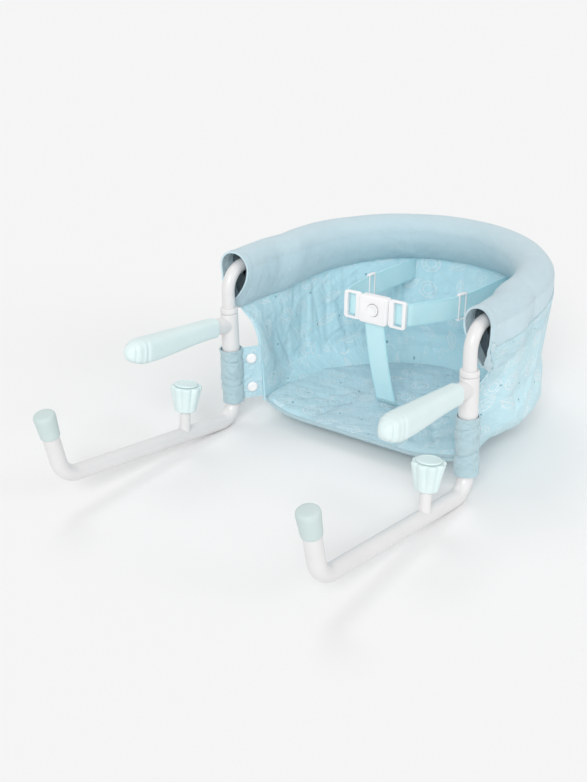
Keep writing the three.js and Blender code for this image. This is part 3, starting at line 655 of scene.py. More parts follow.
def settled(sheet, held, spare, inwards, cap):
    """Lets a share of spare cloth buckle between the held points, inwards and no further than the cap."""
    last_moment = 24
    start = [vertex.co.copy() for vertex in sheet.data.vertices]
    group = sheet.vertex_groups.new(name="held")
    group.add(held, 1.0, "REPLACE")
    only(sheet)
    modifier = sheet.modifiers.new("settle", "CLOTH")
    settings = modifier.settings
    settings.quality = 5
    settings.mass = 0.15
    settings.tension_stiffness = 15
    settings.compression_stiffness = 15
    settings.shear_stiffness = 5
    settings.bending_stiffness = 0.7
    settings.vertex_group_mass = "held"
    settings.shrink_min = -spare
    settings.effector_weights.gravity = 0.3
    modifier.collision_settings.use_collision = False
    for moment in range(1, last_moment + 1):
        scene.frame_set(moment)
    bpy.ops.object.modifier_apply(modifier=modifier.name)
    scene.frame_set(1)
    for vertex, place in zip(sheet.data.vertices, start):
        move = vertex.co - place
        inward = inwards(place)
        share = move.dot(inward)
        if share < 0:
            move -= inward * share
        if move.length > cap:
            move *= cap / move.length
        vertex.co = place + move
    sheet.vertex_groups.clear()


def ease(value, low, high):
    share = min(max((value - low) / (high - low), 0), 1)
    return share * share * (3 - 2 * share)


def lerp(first, second, share):
    return first + (second - first) * share


def shares(steps):
    """Even shares from 0 to 1."""
    return [i / steps for i in range(steps + 1)]


def run_lengths(line):
    """The length along a line up to each of its places."""
    lengths = [0.0]
    for before, after in zip(line, line[1:]):
        lengths.append(lengths[-1] + (after - before).length)
    return lengths


def evenly(line, steps):
    """Even places along a line."""
    lengths = run_lengths(line)
    places = []
    i = 1
    for k in range(steps + 1):
        run = lengths[-1] * k / steps
        while lengths[i] < run - 1e-12:
            i += 1
        share = (run - lengths[i - 1]) / (lengths[i] - lengths[i - 1])
        places.append(line[i - 1].lerp(line[i], share))
    return places


def ripple(x, y, z, size):
    """Smooth unevenness between about -1 and 1."""
    return noise.noise(Vector((x, y, z)) / size)


def fold(x, y, size, stretch, turn, seed):
    """Creases between 0 and 1, long in one direction."""
    along = x * math.cos(turn) + y * math.sin(turn)
    across = y * math.cos(turn) - x * math.sin(turn)
    return (1 - min(1, 2.2 * abs(noise.noise(Vector((along / stretch, across, seed)) / size)))) ** 2


# The rim's line, seen from above


def rim_line():
    """Places from the left post round the back to the right post."""
    side_steps = 40
    back_steps = 120
    half = POST_X - RIM_NARROWING
    left = []
    for i in range(side_steps):
        y = RIM_SIDE * i / side_steps
        left.append(Vector((RIM_NARROWING * ease(y, RIM_STRAIGHT, RIM_SIDE) - POST_X, y)))
    back = []
    for share in shares(back_steps):
        angle = math.pi * (1 - share)
        back.append(Vector((half * math.cos(angle), RIM_SIDE + RIM_DEPTH * math.sin(angle))))
    return left + back + [Vector((-place.x, place.y)) for place in reversed(left)]


RIM_LINE = rim_line()
RIM_LENGTHS = run_lengths(RIM_LINE)
RIM_LENGTH = RIM_LENGTHS[-1]


def rim_at(run):
    """The place at a run along the rim and the direction outwards from it."""
    run = min(max(run, 0), RIM_LENGTH)
    i = next(k for k in range(1, len(RIM_LENGTHS)) if RIM_LENGTHS[k] >= run)
    share = (run - RIM_LENGTHS[i - 1]) / (RIM_LENGTHS[i] - RIM_LENGTHS[i - 1])
    first = RIM_LINE[max(i - 2, 0)]
    last = RIM_LINE[min(i + 1, len(RIM_LINE) - 1)]
    along = (last - first).normalized()
    return RIM_LINE[i - 1].lerp(RIM_LINE[i], share), Vector((-along.y, along.x))


def rim_place(run, outwards, z):
    place, out = rim_at(run)
    return Vector((place.x + out.x * outwards, place.y + out.y * outwards, z))


def out_of_rim(run, spot):
    """How far outwards from the rim's line a place lies."""
    place, out = rim_at(run)
    return (spot.x - place.x) * out.x + (spot.y - place.y) * out.y


def roll_drop(y):
    """How far the roll's seam hangs below the rim."""
    over_wall = lerp(ROLL_FRONT_DROP, ROLL_BACK_DROP, ease(y, RIM_STRAIGHT, RIM_SIDE + RIM_DEPTH))
    return lerp(ROLL_END_DROP, over_wall, ease(y, ROLL_FRONT, WALL_FRONT))


# Frames of the arm, in which the post stands on the Z axis

ARM_AHEAD = Vector((0, -math.cos(ARM_RISE), math.sin(ARM_RISE)))
HOOK_UP = Vector((0, -math.sin(HOOK_LEAN), math.cos(HOOK_LEAN)))
POST_CORNER = Vector((0, 0, ARM_RADIUS - POST_BEND * (1 / math.tan((math.pi / 2 - ARM_RISE) / 2) - 1)))
HOOK_CORNER = POST_CORNER + ARM_AHEAD * ARM_LENGTH
HOOK_END = HOOK_CORNER + HOOK_UP * (HOOK_HEIGHT - CAP_TOP)
CLAMP = Matrix.Translation(POST_CORNER + ARM_AHEAD * CLAMP_DISTANCE) @ Matrix.Rotation(-ARM_RISE, 4, "X")
HOOK = Matrix.Translation(HOOK_END) @ Matrix.Rotation(HOOK_LEAN, 4, "X")
UPPER = Matrix.Translation((0, 0, UPPER_ARM_HEIGHT)) @ Matrix.Rotation(-ARM_RISE, 4, "X")
AHEAD = UPPER @ Matrix.Rotation(math.pi / 2, 4, "X")


def arm_frame(sign):
    return Matrix.Translation((sign * POST_X, 0, 0)) @ Matrix.Rotation(sign * ARM_SPLAY, 4, "Z")


def on_both_arms(piece, finish, node, body="{}_arm", slot=None):
    """Sets one copy of a piece on each arm."""
    for side, sign in SIDES.items():
        copy = copied(piece, f"{side}_{node}_look", arm_frame(sign))
        dress(copy, finish, body.format(side), f"{side}_{node}", slot=slot)
    bpy.data.objects.remove(piece)


# Tubes


def rim_tube():
    straight = 0.04
    corner_ends = ((0, LEG_BOTTOM), (0, RIM_HEIGHT), (0.06, RIM_HEIGHT))
    corners = [Vector((-POST_X, y, z)) for y, z in corner_ends]
    left = bent_places(corners, [RIM_BEND])[:-1]
    runs = [lerp(straight, RIM_LENGTH - straight, share) for share in shares(120)]
    horseshoe = [rim_place(run, 0, RIM_HEIGHT) for run in runs]
    right = [Vector((-place.x, place.y, place.z)) for place in reversed(left)]
    piece = tube("rim_tube_look", left + horseshoe + right, RIM_RADIUS)
    dress(piece, "white_paint", "seat_frame", "rim_tube")


def lower_arm():
    corners = [Vector((0, 0, TEE_TOP)), POST_CORNER, HOOK_CORNER, HOOK_END]
    piece = tube("lower_arm", bent_places(corners, [POST_BEND, HOOK_BEND]), ARM_RADIUS)
    on_both_arms(piece, "white_paint", "lower_arm")


# Moulded fittings


def arm_tee():
    """The fitting on the post: a collar, an oval stub and the core inside the grip, melted into one."""
    stub_radius = 0.0093
    core_radius = 0.0062
    oval = Matrix.Diagonal((0.98, 1.14, 1, 1))
    collar = turned("collar", [(TEE_RADIUS, TEE_BOTTOM), (TEE_RADIUS, TEE_TOP)])
    stub = turned("stub", [(stub_radius, 0), (stub_radius, 0.016), (0.0091, 0.030)])
    moved(stub, AHEAD @ oval)
    core = turned("core", [(core_radius, 0.028), (core_radius, 0.148)])
    moved(core, AHEAD)
    piece = joined("arm_tee", collar, stub, core)
    modify(piece, "REMESH", mode="VOXEL", voxel_size=0.0009)
    modify(piece, "SMOOTH", factor=0.5, iterations=6)
    on_both_arms(smoothed(piece, angle=60), "white_paint", "arm_tee", slot="white_plastic")


def pivot_bush():
    low = TEE_TOP + 0.0003
    rings = [(TEE_RADIUS, low), (TEE_RADIUS, low + BUSH_HEIGHT * 0.7), (TEE_RADIUS * 0.93, low + BUSH_HEIGHT)]
    piece = turned("pivot_bush", rings)
    on_both_arms(rounded(piece, width=0.0011, segments=4), "white_paint", "pivot_bush", slot="white_plastic")


def grip_place(share, angle):
    """A place on the grip's skin at a share of its length: a rounded square with grooves in its nose."""
    length = GRIP_END - GRIP_START
    nose = 0.026
    squareness = 3.2
    groove_depth = 0.0016
    groove_pitch = 0.0078
    sag = 0.005
    run = share * length
    left = length - run
    swell = ease(share, 0, 0.85)
    into = max(0, run - (length - nose)) / nose
    round_off = math.sqrt(max(0, 1 - into * into)) if into < 1 else 0
    cosine = math.cos(angle)
    sine = math.sin(angle)
    square = (abs(cosine) ** squareness + abs(sine) ** squareness) ** (-1 / squareness)
    width = lerp(0.0103, 0.0138, swell) * round_off
    height = lerp(0.0118, 0.0148, swell) * round_off
    groove = groove_depth * ease(run, length - 0.034, length - 0.024) * ease(abs(cosine), 0.1, 0.4)
    groove *= max(0, math.cos(left * 2 * math.pi / groove_pitch)) ** 4
    groove *= 1 - ease(run, length - 0.005, length - 0.003)
    x = cosine * square * (width - groove)
    y = sine * square * (height - groove * 0.4)
    return Vector((x, y - sag * swell, GRIP_START + run))


def arm_grip():
    """A soft sleeve: a round bar sliced into rings, each set to its own width and height."""
    steps = 44
    end = 0.499
    bpy.ops.mesh.primitive_cylinder_add(vertices=64, radius=1, depth=1, end_fill_type="NGON")
    piece = active("arm_grip")
    upwards = (0, 0, 1)
    with editing(piece):
        bpy.ops.mesh.bisect(plane_co=(0, 0, end), plane_no=upwards, clear_outer=True)
        bpy.ops.mesh.select_all(action="SELECT")
        bpy.ops.mesh.bisect(plane_co=(0, 0, -end), plane_no=upwards, clear_inner=True)
        for i in range(1, steps):
            bpy.ops.mesh.select_all(action="SELECT")
            bpy.ops.mesh.bisect(plane_co=(0, 0, lerp(-end, end, i / steps)), plane_no=upwards)
    for vertex in piece.data.vertices:
        share = 1 - max(0, 0.5 - vertex.co.z / (2 * end)) ** 1.7
        vertex.co = grip_place(share, math.atan2(vertex.co.y, vertex.co.x))
    with editing(piece):
        bpy.ops.mesh.remove_doubles(threshold=0.0002)
        bpy.ops.mesh.select_all(action="DESELECT")
        bpy.ops.mesh.select_non_manifold()
        bpy.ops.mesh.edge_face_add()
    moved(piece, AHEAD)
    on_both_arms(smoothed(piece, angle=50), "mint_plastic", "arm_grip")


def hook_cap():
    mouth = CAP_TOP - CAP_HEIGHT
    rings = [(0.0099, mouth), (0.0108, mouth), (0.0111, mouth + 0.001), (0.0118, -0.010), (0.0123, -0.004),
             (0.0125, -0.001), (0.0122, 0.0014), (0.0112, 0.0031), (0.0090, 0.0038), (0.0050, 0.0040)]
    piece = subdivided(turned("hook_cap", rings))
    on_both_arms(moved(piece, HOOK), "mint_rubber", "hook_cap")


def clamp_boss():
    """A slim stem that flares out where it meets the arm."""
    rings = [(0.0070, ARM_RADIUS - 0.0065), (0.0078, ARM_RADIUS - 0.0025), (0.0072, ARM_RADIUS + 0.0010),
             (0.0067, ARM_RADIUS + 0.0045), (0.0065, BOSS_TOP - 0.003), (0.0064, BOSS_TOP)]
    piece = subdivided(turned("clamp_boss", rings))
    on_both_arms(moved(piece, CLAMP), "white_paint", "clamp_boss", slot="white_plastic")


def clamp_knob():
    """A knob of eight lobes that stand out more towards its wide top."""
    lobes = 8
    height = KNOB_TOP - KNOB_FOOT
    low = KNOB_FOOT + 0.003
    high = KNOB_TOP - 0.003
    foot = [(0.0112, KNOB_FOOT), (0.0126, KNOB_FOOT + 0.0004), (0.0132, KNOB_FOOT + 0.0014)]
    flare = [(lerp(0.0134, 0.0180, share), lerp(low, high, share)) for share in shares(10)]
    brim = [(0.0181, KNOB_TOP - 0.0016), (0.0177, KNOB_TOP - 0.0006), (0.0169, KNOB_TOP), (0.0140, KNOB_TOP)]
    piece = turned("clamp_knob", foot + flare + brim, sides=96)
    for vertex in piece.data.vertices:
        angle = math.atan2(vertex.co.y, vertex.co.x)
        rise = (vertex.co.z - KNOB_FOOT) / height
        depth = lerp(0.06, 0.19, rise) * ease(vertex.co.xy.length, 0.0105, 0.0135)
        groove = abs(math.cos(lobes * angle / 2)) ** 0.8
        grow = 1 + depth * (groove - 0.65)
        vertex.co.x *= grow
        vertex.co.y *= grow
    on_both_arms(moved(smoothed(piece, angle=50), CLAMP), "mint_plastic", "clamp_knob", "{}_clamp_knob_body")


def clamp_pad():
    low = KNOB_TOP + 0.0003
    dish = low + 0.0021
    top = low + 0.0025
    rings = [(0.0130, low), (0.0140, low + 0.0004), (0.0143, low + 0.0012), (0.0138, dish), (0.0128, top),
             (0.0110, top), (0.0106, dish), (0.0060, dish)]
    piece = turned("clamp_pad", rings, sides=64)
    on_both_arms(moved(piece, CLAMP), "mint_plastic", "clamp_pad", "{}_clamp_pad_body", slot="mint_rubber")


# Cloth


def roll_place(run, round_share, puff=0.0):
    """A place on the roll's cloth: seam at 0 and 1, inner side at a quarter, outer side at three."""
    angle = 2 * math.pi * round_share
    upright = math.cos(angle)
    low = max(0, upright)
    centre, _ = rim_at(run)
    drop = roll_drop(centre.y) - 0.0006
    height = -drop * low ** ROLL_FULLNESS - ROLL_RISE * min(0, upright)
    end = min(run - ROLL_FRONT, RIM_LENGTH - ROLL_FRONT - run)
    end_width = 0.72 if run > RIM_LENGTH / 2 else 0.9
    tightness = lerp(end_width, 1.0, ease(end, 0, 0.09))
    pinch = (1 - lerp(0.7, 0.18, ease(end, 0, 0.12)) * low * low) * tightness
    sideways = -math.sin(angle)
    bulge = 1 + 0.05 * ripple(run, sideways * 0.02, height, size=0.05) * (1 - low ** 4)
    outwards = ROLL_HALF * sideways * pinch * bulge + SEAM_OFFSET * low ** 1.6
    pucker = 0.0010 * low ** 2 * ripple(run, 0, sideways, size=0.013)
    drawn_in = fold(run, angle * 0.028, size=0.020, stretch=2.6, turn=0.9 * sideways, seed=3.0)
    pucker -= 0.0011 * drawn_in * ease(low, 0.0, 0.5)
    sag = 0.0010 * ripple(run, angle * 0.02, 0, size=0.07)
    hem = 0.0007 * (1 - ease(end, 0.007, 0.009))
    outwards += (pucker + hem + sag * 0.6 + puff) * (1 if sideways > 0 else -1) * min(1, abs(sideways) * 4)
    return rim_place(run, outwards, RIM_HEIGHT + height + sag * (1 - low) - hem * min(0, upright))


def padded_roll():
    """The roll's cloth, from its seam inside, over the tube and down outside to the seam again."""
    girth = 0.175
    round_steps = 56
    run_start = ROLL_FRONT
    run_end = RIM_LENGTH - ROLL_FRONT

    def place(share, round_share):
        return roll_place(lerp(run_start, run_end, share), round_share)

    length = run_end - run_start
    roll = cloth("rim_cover_look", place, grid=(300, round_steps), flat=(girth, length),
                 thickness=ROLL_CLOTH, offset=1.0, closed=True)
    smoothed(roll, angle=60)
    dress(roll, "roll_fabric", "seat_frame", "rim_cover")

    # A dark disc of cloth a little inside each end of the roll: painted shade standing in for the dark hollow
    # inside it
    depth = 0.020
    for side, run in {"left": run_start + depth, "right": run_end - depth}.items():
        heart = rim_place(run, 0, RIM_HEIGHT)

        def across(share, round_share, run=run, heart=heart):
            return heart.lerp(roll_place(run, round_share), 0.3 + 0.69 * share)

        name = f"{side}_roll_shade_cap"
        painted_shade_cloth = cloth(name, across, grid=(12, round_steps), flat=(girth, depth), closed=True)
        dress(painted_shade_cloth, "painted_shade_cloth", "seat_frame", slot="roll_fabric")


def floor_lift(spot):
    """How far the floor's edge turns up at its sides and front corners."""
    return EDGE_LIFT * ease(abs(spot.x), 0.08, 0.135) * (1 - ease(spot.y, 0.12, 0.22))


def wall_reach(y, top, foot, z):
    """How far out the wall hangs at a height: from the seam to its knee, then in to the floor's edge."""
    behind_front = ease(y, WALL_FRONT, RIM_SIDE)
    knee = lerp(SLEEVE_TOP, WALL_KNEE, behind_front)
    knee_out = SEAM_OFFSET + lerp(-FRONT_TUCK, WALL_SPREAD, behind_front)
    foot_out = SEAM_OFFSET - WALL_TUCK
    if z > knee:
        return lerp(SEAM_OFFSET, knee_out, min(max((top - z) / (top - knee), 0), 1))
    return lerp(knee_out, foot_out, min(max((knee - z) / (knee - foot), 0), 1))


def wall_place(run, down):
    """A place on the wall's cloth, from the roll's seam at 0 down to the floor at 1."""
    centre, _ = rim_at(run)
    top = RIM_HEIGHT - roll_drop(centre.y) - 0.0004
    edge = min(run - WALL_FRONT, RIM_LENGTH - WALL_FRONT - run)
    near_front = 1 - ease(edge, 0.0, 0.05)
    lean = 0.007 * math.sin(math.pi * min(1, max(0, down) * 2.6)) * near_front
    run += lean if run < RIM_LENGTH / 2 else -lean
    foot = FLOOR_HEIGHT + 0.0010 + floor_lift(rim_place(run, SEAM_OFFSET - WALL_TUCK, 0))
    z = lerp(top, foot, down)
    soften = min(0.007, z - foot)
    above = wall_reach(centre.y, top, foot, z + soften)
    below = wall_reach(centre.y, top, foot, z - soften)
    outwards = (below + 2 * wall_reach(centre.y, top, foot, z) + above) / 4
    slack = math.sin(math.pi * min(1, max(0, down) * 1.2)) * ease(edge, 0.0, 0.03)
    outwards += 0.0028 * slack * ripple(run, z * 1.5, 0.3, size=0.06)
    outwards -= 0.0030 * slack * fold(run, z, size=0.040, stretch=3.0, turn=0.9, seed=1.0)
    outwards += 0.0026 * slack * fold(run, z, size=0.036, stretch=3.4, turn=-0.7, seed=5.0)
    outwards -= 0.0006 * slack * fold(run, z, size=0.013, stretch=3.0, turn=1.3, seed=9.0)
    gather = ease(down, 0.0, 0.03) * (1 - ease(down, 0.05, 0.4))
    outwards += 0.0014 * gather * ripple(run, 0, 0.9, size=0.013)
    from_seam = abs(run - RIM_LENGTH / 2) - BACK_SEAM_REACH
    outwards -= 0.0022 * math.exp(-(from_seam / 0.0020) ** 2)
    return run, outwards, z


def seat_wall():
    """The wall's cloth, from the roll's seam down to the floor, drawn in at its foot."""
    start = WALL_FRONT
    end = RIM_LENGTH - WALL_FRONT
    height = 0.15
    spare = 0.011
    furthest = 0.008

    def place(share, down):
        return rim_place(*wall_place(lerp(start, end, share), down))

    def inwards(spot):
        return Vector((-spot.x, 0.12 - spot.y, 0)).normalized()

    def settle(sheet, spots):
        held = []
        for i, (share, down) in enumerate(spots):
            if min(share, 1 - share) < 0.008 or min(down, 1 - down) < 0.03:
                held.append(i)
        settled(sheet, held, spare, inwards, furthest)

    length = end - start
    wall = cloth("seat_wall_look", place, grid=(320, 64), flat=(height, length),
                 thickness=WALL_CLOTH, settle=settle)
    dress(wall, "wall_fabric", "seat_frame", "seat_wall")


def outer_band(run, share):
    """How far out and how high the outer cloth lies on the roll, at a share of the way to its sewn edge."""
    centre, _ = rim_at(run)
    drop = roll_drop(centre.y)
    low = ((drop - BAND_HEIGHT * share) / drop) ** (1 / ROLL_FULLNESS)
    spot = roll_place(run, 1 - math.acos(min(1, low)) / (2 * math.pi), ROLL_CLOTH + 0.0009)
    return out_of_rim(run, spot), spot.z


def outer_wall():
    """The wall's outer cloth, sewn on part way up the roll's outer side and hung straight from there."""
    height = 0.18
    over_roll = 0.26
    over_wall = 0.0022

    def place(share, down):
        front = lerp(ROLL_FRONT + 0.0005, WALL_FRONT, ease(down, 0.05, over_roll))
        run = lerp(front, RIM_LENGTH - front, share)
        wall_run = max(min(run, RIM_LENGTH - WALL_FRONT), WALL_FRONT)
        centre, _ = rim_at(run)
        drop = roll_drop(centre.y)
        end = min(run - front, RIM_LENGTH - front - run)
        if down < over_roll:
            outwards, z = outer_band(run, 1 - down / over_roll)
        else:
            run, outwards, z = wall_place(wall_run, (down - over_roll) / (1 - over_roll))
            outwards += over_wall
        low_end = RIM_HEIGHT - drop - BAND_REACH
        if z > low_end:
            _, hem_out, _ = wall_place(wall_run, BAND_REACH / (RIM_HEIGHT - drop - FLOOR_HEIGHT))
            band_out, band_z = outer_band(run, 1)
            straight = lerp(hem_out + over_wall, band_out, (z - low_end) / (band_z - low_end))
            outwards = lerp(outwards, max(outwards, straight), ease(end, 0.015, 0.07))
        return rim_place(run, outwards, z)

    length = RIM_LENGTH - 2 * ROLL_FRONT
    skin = cloth("seat_wall_outer", place, grid=(400, 84), flat=(height, length), thickness=0.0010)
    dress(skin, "wall_fabric", "seat_frame")


def floor_plan():
    """The floor's edge seen from above: round the back along the wall, then across the front."""
    offset = SEAM_OFFSET - 0.0018 - WALL_TUCK
    start = FLOOR_CORNER_Y
    side = [rim_place(lerp(start, RIM_LENGTH - start, share), offset, 0) for share in shares(160)]
    front_right = Vector((FLOOR_CORNER_X, FLOOR_FRONT, 0))
    front_left = Vector((-FLOOR_CORNER_X, FLOOR_FRONT, 0))

    def rounded_corner(first, last):
        turn = Vector((math.copysign(abs(side[0].x) - 0.002, first.x), FLOOR_FRONT + 0.002, 0))
        return [first.lerp(turn, share).lerp(turn.lerp(last, share), share) for share in shares(16)[:-1]]

    front = [front_right.lerp(front_left, share) for share in shares(60)[:-1]]
    return side[:-1] + rounded_corner(side[-1], front_right) + front + rounded_corner(front_left, side[0])


FLOOR_PLAN = floor_plan()
FLOOR_MIDDLE = Vector((0, 0.13, 0))


def floor_edge(count):
    """Even places round the floor's edge."""
    return evenly(FLOOR_PLAN + FLOOR_PLAN[:1], count)[:-1]


FLOOR_EDGE = floor_edge(200)


def floor_edge_at(share):
    i = share * len(FLOOR_EDGE)
    before = FLOOR_EDGE[int(i) % len(FLOOR_EDGE)]
    after = FLOOR_EDGE[(int(i) + 1) % len(FLOOR_EDGE)]
    return before.lerp(after, i - int(i))


def crease(spot, start, end, width):
    """A line pressed into the cloth: 1 on the line, fading beside it and at its ends."""
    along = end - start
    share = (spot - start).dot(along) / along.length_squared
    beside = (spot - start - along * share).length
    return ease(share, -0.05, 0.2) * (1 - ease(share, 0.65, 1.05)) * math.exp(-((beside / width) ** 2))


def floor_creases(spot):
    """Creases that fan out from the middle over each side of the floor."""
    shift = 0.012 if spot.x > 0 else 0
    left = Vector((-abs(spot.x), spot.y + shift, 0))

    def pressed(depth, start, end, width):
        return depth * crease(left, Vector((*start, 0)), Vector((*end, 0)), width)

    front = pressed(0.0034, start=(-0.065, 0.020), end=(-0.049, 0.134), width=0.0036)
    corner = pressed(0.0024, start=(-0.112, 0.036), end=(-0.047, 0.140), width=0.0034)
    short = pressed(0.0020, start=(-0.078, 0.044), end=(-0.036, 0.116), width=0.0030)
    ridge = pressed(0.0016, start=(-0.072, 0.022), end=(-0.054, 0.134), width=0.0046)
    return front + corner + short - ridge


def floor_pad():
    """The padded floor: a cushion over the board with a sewn edge, its sides slung up towards the wall."""

    def place(share, level):
        upper = level < 0.5
        rim = floor_edge_at(share)
        across = level * 2 if upper else (1 - level) * 2
        spot = FLOOR_MIDDLE.lerp(rim, max(across, 0.004))
        if not upper:
            lift = floor_lift(rim) * ease(across, 0.93, 1.0)
            return Vector((spot.x, spot.y, PAD_BOTTOM + lift))
        crown = 1 - math.exp(-(rim - spot).length / 0.006)
        soft = 0.0006 * ripple(spot.x, spot.y, 0.5, size=0.05) * crown
        soft -= 0.0016 * fold(spot.x, spot.y, size=0.030, stretch=3.0, turn=0.5, seed=7.0) * crown
        soft -= 0.0012 * fold(spot.x, spot.y, size=0.022, stretch=3.0, turn=-0.8, seed=2.0) * crown
        soft -= floor_creases(spot) * crown
        turned_up = 1.5 * floor_lift(rim) * ease(across, 0.74, 1.0)
        flank = max(0, abs(spot.x) - 0.058) / 0.077
        slung = 1.5 * EDGE_LIFT * flank ** 1.3 * (1 - ease(spot.y, 0.12, 0.22))
        lift = lerp(max(turned_up, slung), turned_up, ease(across, 0.88, 1.0))
        seat = lerp(PAD_BOTTOM + 0.0004, FLOOR_TOP - 0.0004, crown) + soft
        return Vector((spot.x, spot.y, seat + lift))

    pad = cloth("seat_floor_look", place, grid=(260, 64), closed=True)
    mapped(smoothed(pad, angle=60), lambda spot: (spot.x + 0.3, spot.y + 0.011))
    dress(pad, "shaded_floor_fabric", "seat_frame", "seat_floor", slot="wall_fabric")


def floor_underside():
    """The cloth under the floor board, with a lip up to the pad's edge."""

    def place(share, level):
        rim = floor_edge_at(share)
        spot = FLOOR_MIDDLE.lerp(rim, max(level, 0.004))
        lift = floor_lift(rim) * ease(level, 0.93, 1.0)
        lip = 0.0030 * ease(level, 0.97, 1.0)
        return Vector((spot.x, spot.y, FLOOR_HEIGHT + 0.0007 + lift + lip))

    under = cloth("seat_underside_look", place, grid=(240, 30), thickness=0.0012, closed=True)
    mapped(under, lambda spot: (spot.x + 0.3, spot.y))
    dress(under, "wall_fabric", "seat_frame", "seat_underside")


def post_flap_frame(sign):
    """The frame in which a flap stands along +Y from its post."""
    return Matrix.Translation((sign * POST_X, 0, 0)) @ Matrix.Rotation(sign * FLAP_TURN, 4, "Z")


def post_sleeves():
    """Cloth sleeves with creases round them, and a flap that is turned in to the wall's front edge."""
    height = SLEEVE_TOP - SLEEVE_BOTTOM
    girth = 2 * math.pi * SLEEVE_RADIUS
    creases = (0.17, 0.62)
    overlap = 0.0025
    for side, sign in SIDES.items():

        def wrap(share, round_share, sign=sign):
            z = SLEEVE_TOP - height * share
            angle = 2 * math.pi * round_share
            slant = share + 0.05 * math.sin(angle + sign)
            crease = sum(math.exp(-((slant - level) * height / 0.0012) ** 2) for level in creases)
            bulge = 0.0008 * ripple(math.cos(angle), math.sin(angle), share * 2.5 + sign, size=0.8)
            turn = 0.35 * sign
            wrinkle = fold(angle * SLEEVE_RADIUS, z, size=0.012, stretch=3.0, turn=turn, seed=4.0 + sign)
            bulge -= 0.0016 * wrinkle
            hem = 0.0004 * (1 - ease(min(share, 1 - share) * height, 0.003, 0.004))
            radius = SLEEVE_RADIUS - 0.0002 - 0.0018 * crease + bulge + hem
            return Vector((sign * POST_X + radius * math.cos(angle), radius * math.sin(angle), z))

        def flap(share, down, sign=sign):
            y = lerp(SLEEVE_RADIUS - overlap, FLAP_END, share)
            z = lerp(SLEEVE_TOP - 0.001, SLEEVE_BOTTOM + 0.001, down)
            wave = 0.0005 * ripple(y, z, sign, size=0.02)
            return post_flap_frame(sign) @ Vector((wave, y, z))

        sleeve = cloth(f"{side}_post_sleeve_look", wrap, grid=(50, 56), flat=(girth, height),
                       thickness=0.0016, closed=True)
        dress(sleeve, "sleeve_fabric", "seat_frame", f"{side}_post_sleeve", slot="wall_fabric")
        length = FLAP_END - SLEEVE_RADIUS + overlap
        tab = cloth(f"{side}_post_flap", flap, grid=(24, 40), flat=(height, length), thickness=0.0018)
        dress(tab, "shaded_floor_fabric", "seat_frame", slot="wall_fabric")


def press_studs():
    rings = [(SNAP_RADIUS, 0), (SNAP_RADIUS, 0.0011), (0.0062, 0.0021), (0.0048, 0.0028), (0.0030, 0.0030),
             (0.0026, 0.0026), (0.0012, 0.0026)]
    stud = subdivided(turned("stud", rings, sides=40))
    for side, sign in SIDES.items():
        for level, height in SNAP_HEIGHTS.items():
            seat = Matrix.Translation((-sign * (FLAP_THICKNESS / 2 + 0.0003), SNAP_REACH, height))
            turn = post_flap_frame(sign) @ seat @ Matrix.Rotation(-sign * math.pi / 2, 4, "Y")
            copy = copied(stud, f"{side}_{level}_snap_look", turn)
            dress(copy, "white_plastic", "seat_frame", f"{side}_{level}_snap")
    bpy.data.objects.remove(stud)


# Harness

ANCHOR_Y = RIM_SIDE + RIM_DEPTH * math.sqrt(1 - (ANCHOR_X / (POST_X - RIM_NARROWING)) ** 2)
HARNESS = Matrix.Translation((0, ANCHOR_Y, ANCHOR_HEIGHT)) @ Matrix.Rotation(-HARNESS_RISE, 4, "X")
BUCKLE = HARNESS @ Matrix.Translation((BUCKLE_OFFSET, -BUCKLE_REACH, 0))


def curve_place(places, share):
    """A place on the smooth curve through places, at an even share of its stretches."""
    run = share * (len(places) - 1)
    i = min(int(run), len(places) - 2)
    t = run - i
    p1, p2 = places[i], places[i + 1]
    p0 = places[max(i - 1, 0)] if i > 0 else p1
    p3 = places[min(i + 2, len(places) - 1)]
    v0 = (p2 - p0) * 0.5
    v1 = (p3 - p1) * 0.5
    return (2 * p1 - 2 * p2 + v0 + v1) * t ** 3 + (-3 * p1 + 3 * p2 - 2 * v0 - v1) * t ** 2 + v0 * t + p1


def even_line(places, steps):
    """Even places along the smooth curve, and its length."""
    fine = [curve_place(places, share) for share in shares(400)]
    return evenly(fine, steps), run_lengths(fine)[-1]


def waist_line(sign):
    lean = (STRAP_WIDTH / 2) * math.sin(HARNESS_RISE) + 2 * STRAP_CLOTH
    behind = TONGUE_THICKNESS + 2 * STRAP_CLOTH
    wall = SEAM_OFFSET - 0.0015
    return [Vector(place) for place in (
        (sign * ANCHOR_X, wall - lean),
        (sign * (ANCHOR_X - 0.002), wall - lean - 0.020),
        (sign * (ANCHOR_X - 0.004), -BUCKLE_REACH * 0.6),
        (BUCKLE_OFFSET + sign * (TONGUE_END + 0.007), behind + 0.014 - BUCKLE_REACH),
        (BUCKLE_OFFSET + sign * (TONGUE_END - 0.00225), behind - 0.002 - BUCKLE_REACH),
        (BUCKLE_OFFSET + sign * (SLOT_MIDDLE - SLOT_WIDTH / 2 - 0.002), 0.0048 - BUCKLE_REACH))]


def strap(name, line, length, frame_matrix, upright, node):
    """A flat band of webbing along its line, standing across it in the upright direction."""
    steps = len(line) - 1

    def place(share, across):
        run = share * steps
        i = min(int(run), steps - 1)
        spot = line[i].lerp(line[i + 1], run - i)
        return spot + upright * (across - 0.5) * STRAP_WIDTH

    flat = (STRAP_WIDTH, length)
    band = cloth(name, place, grid=(STRAP_STEPS, 8), flat=flat, thickness=STRAP_CLOTH)
    bevelled(band, width=0.0005, segments=2, angle=60)
    moved(soft_shaded(band, angle=50), frame_matrix)
    dress(band, "webbing", "seat_frame", node)


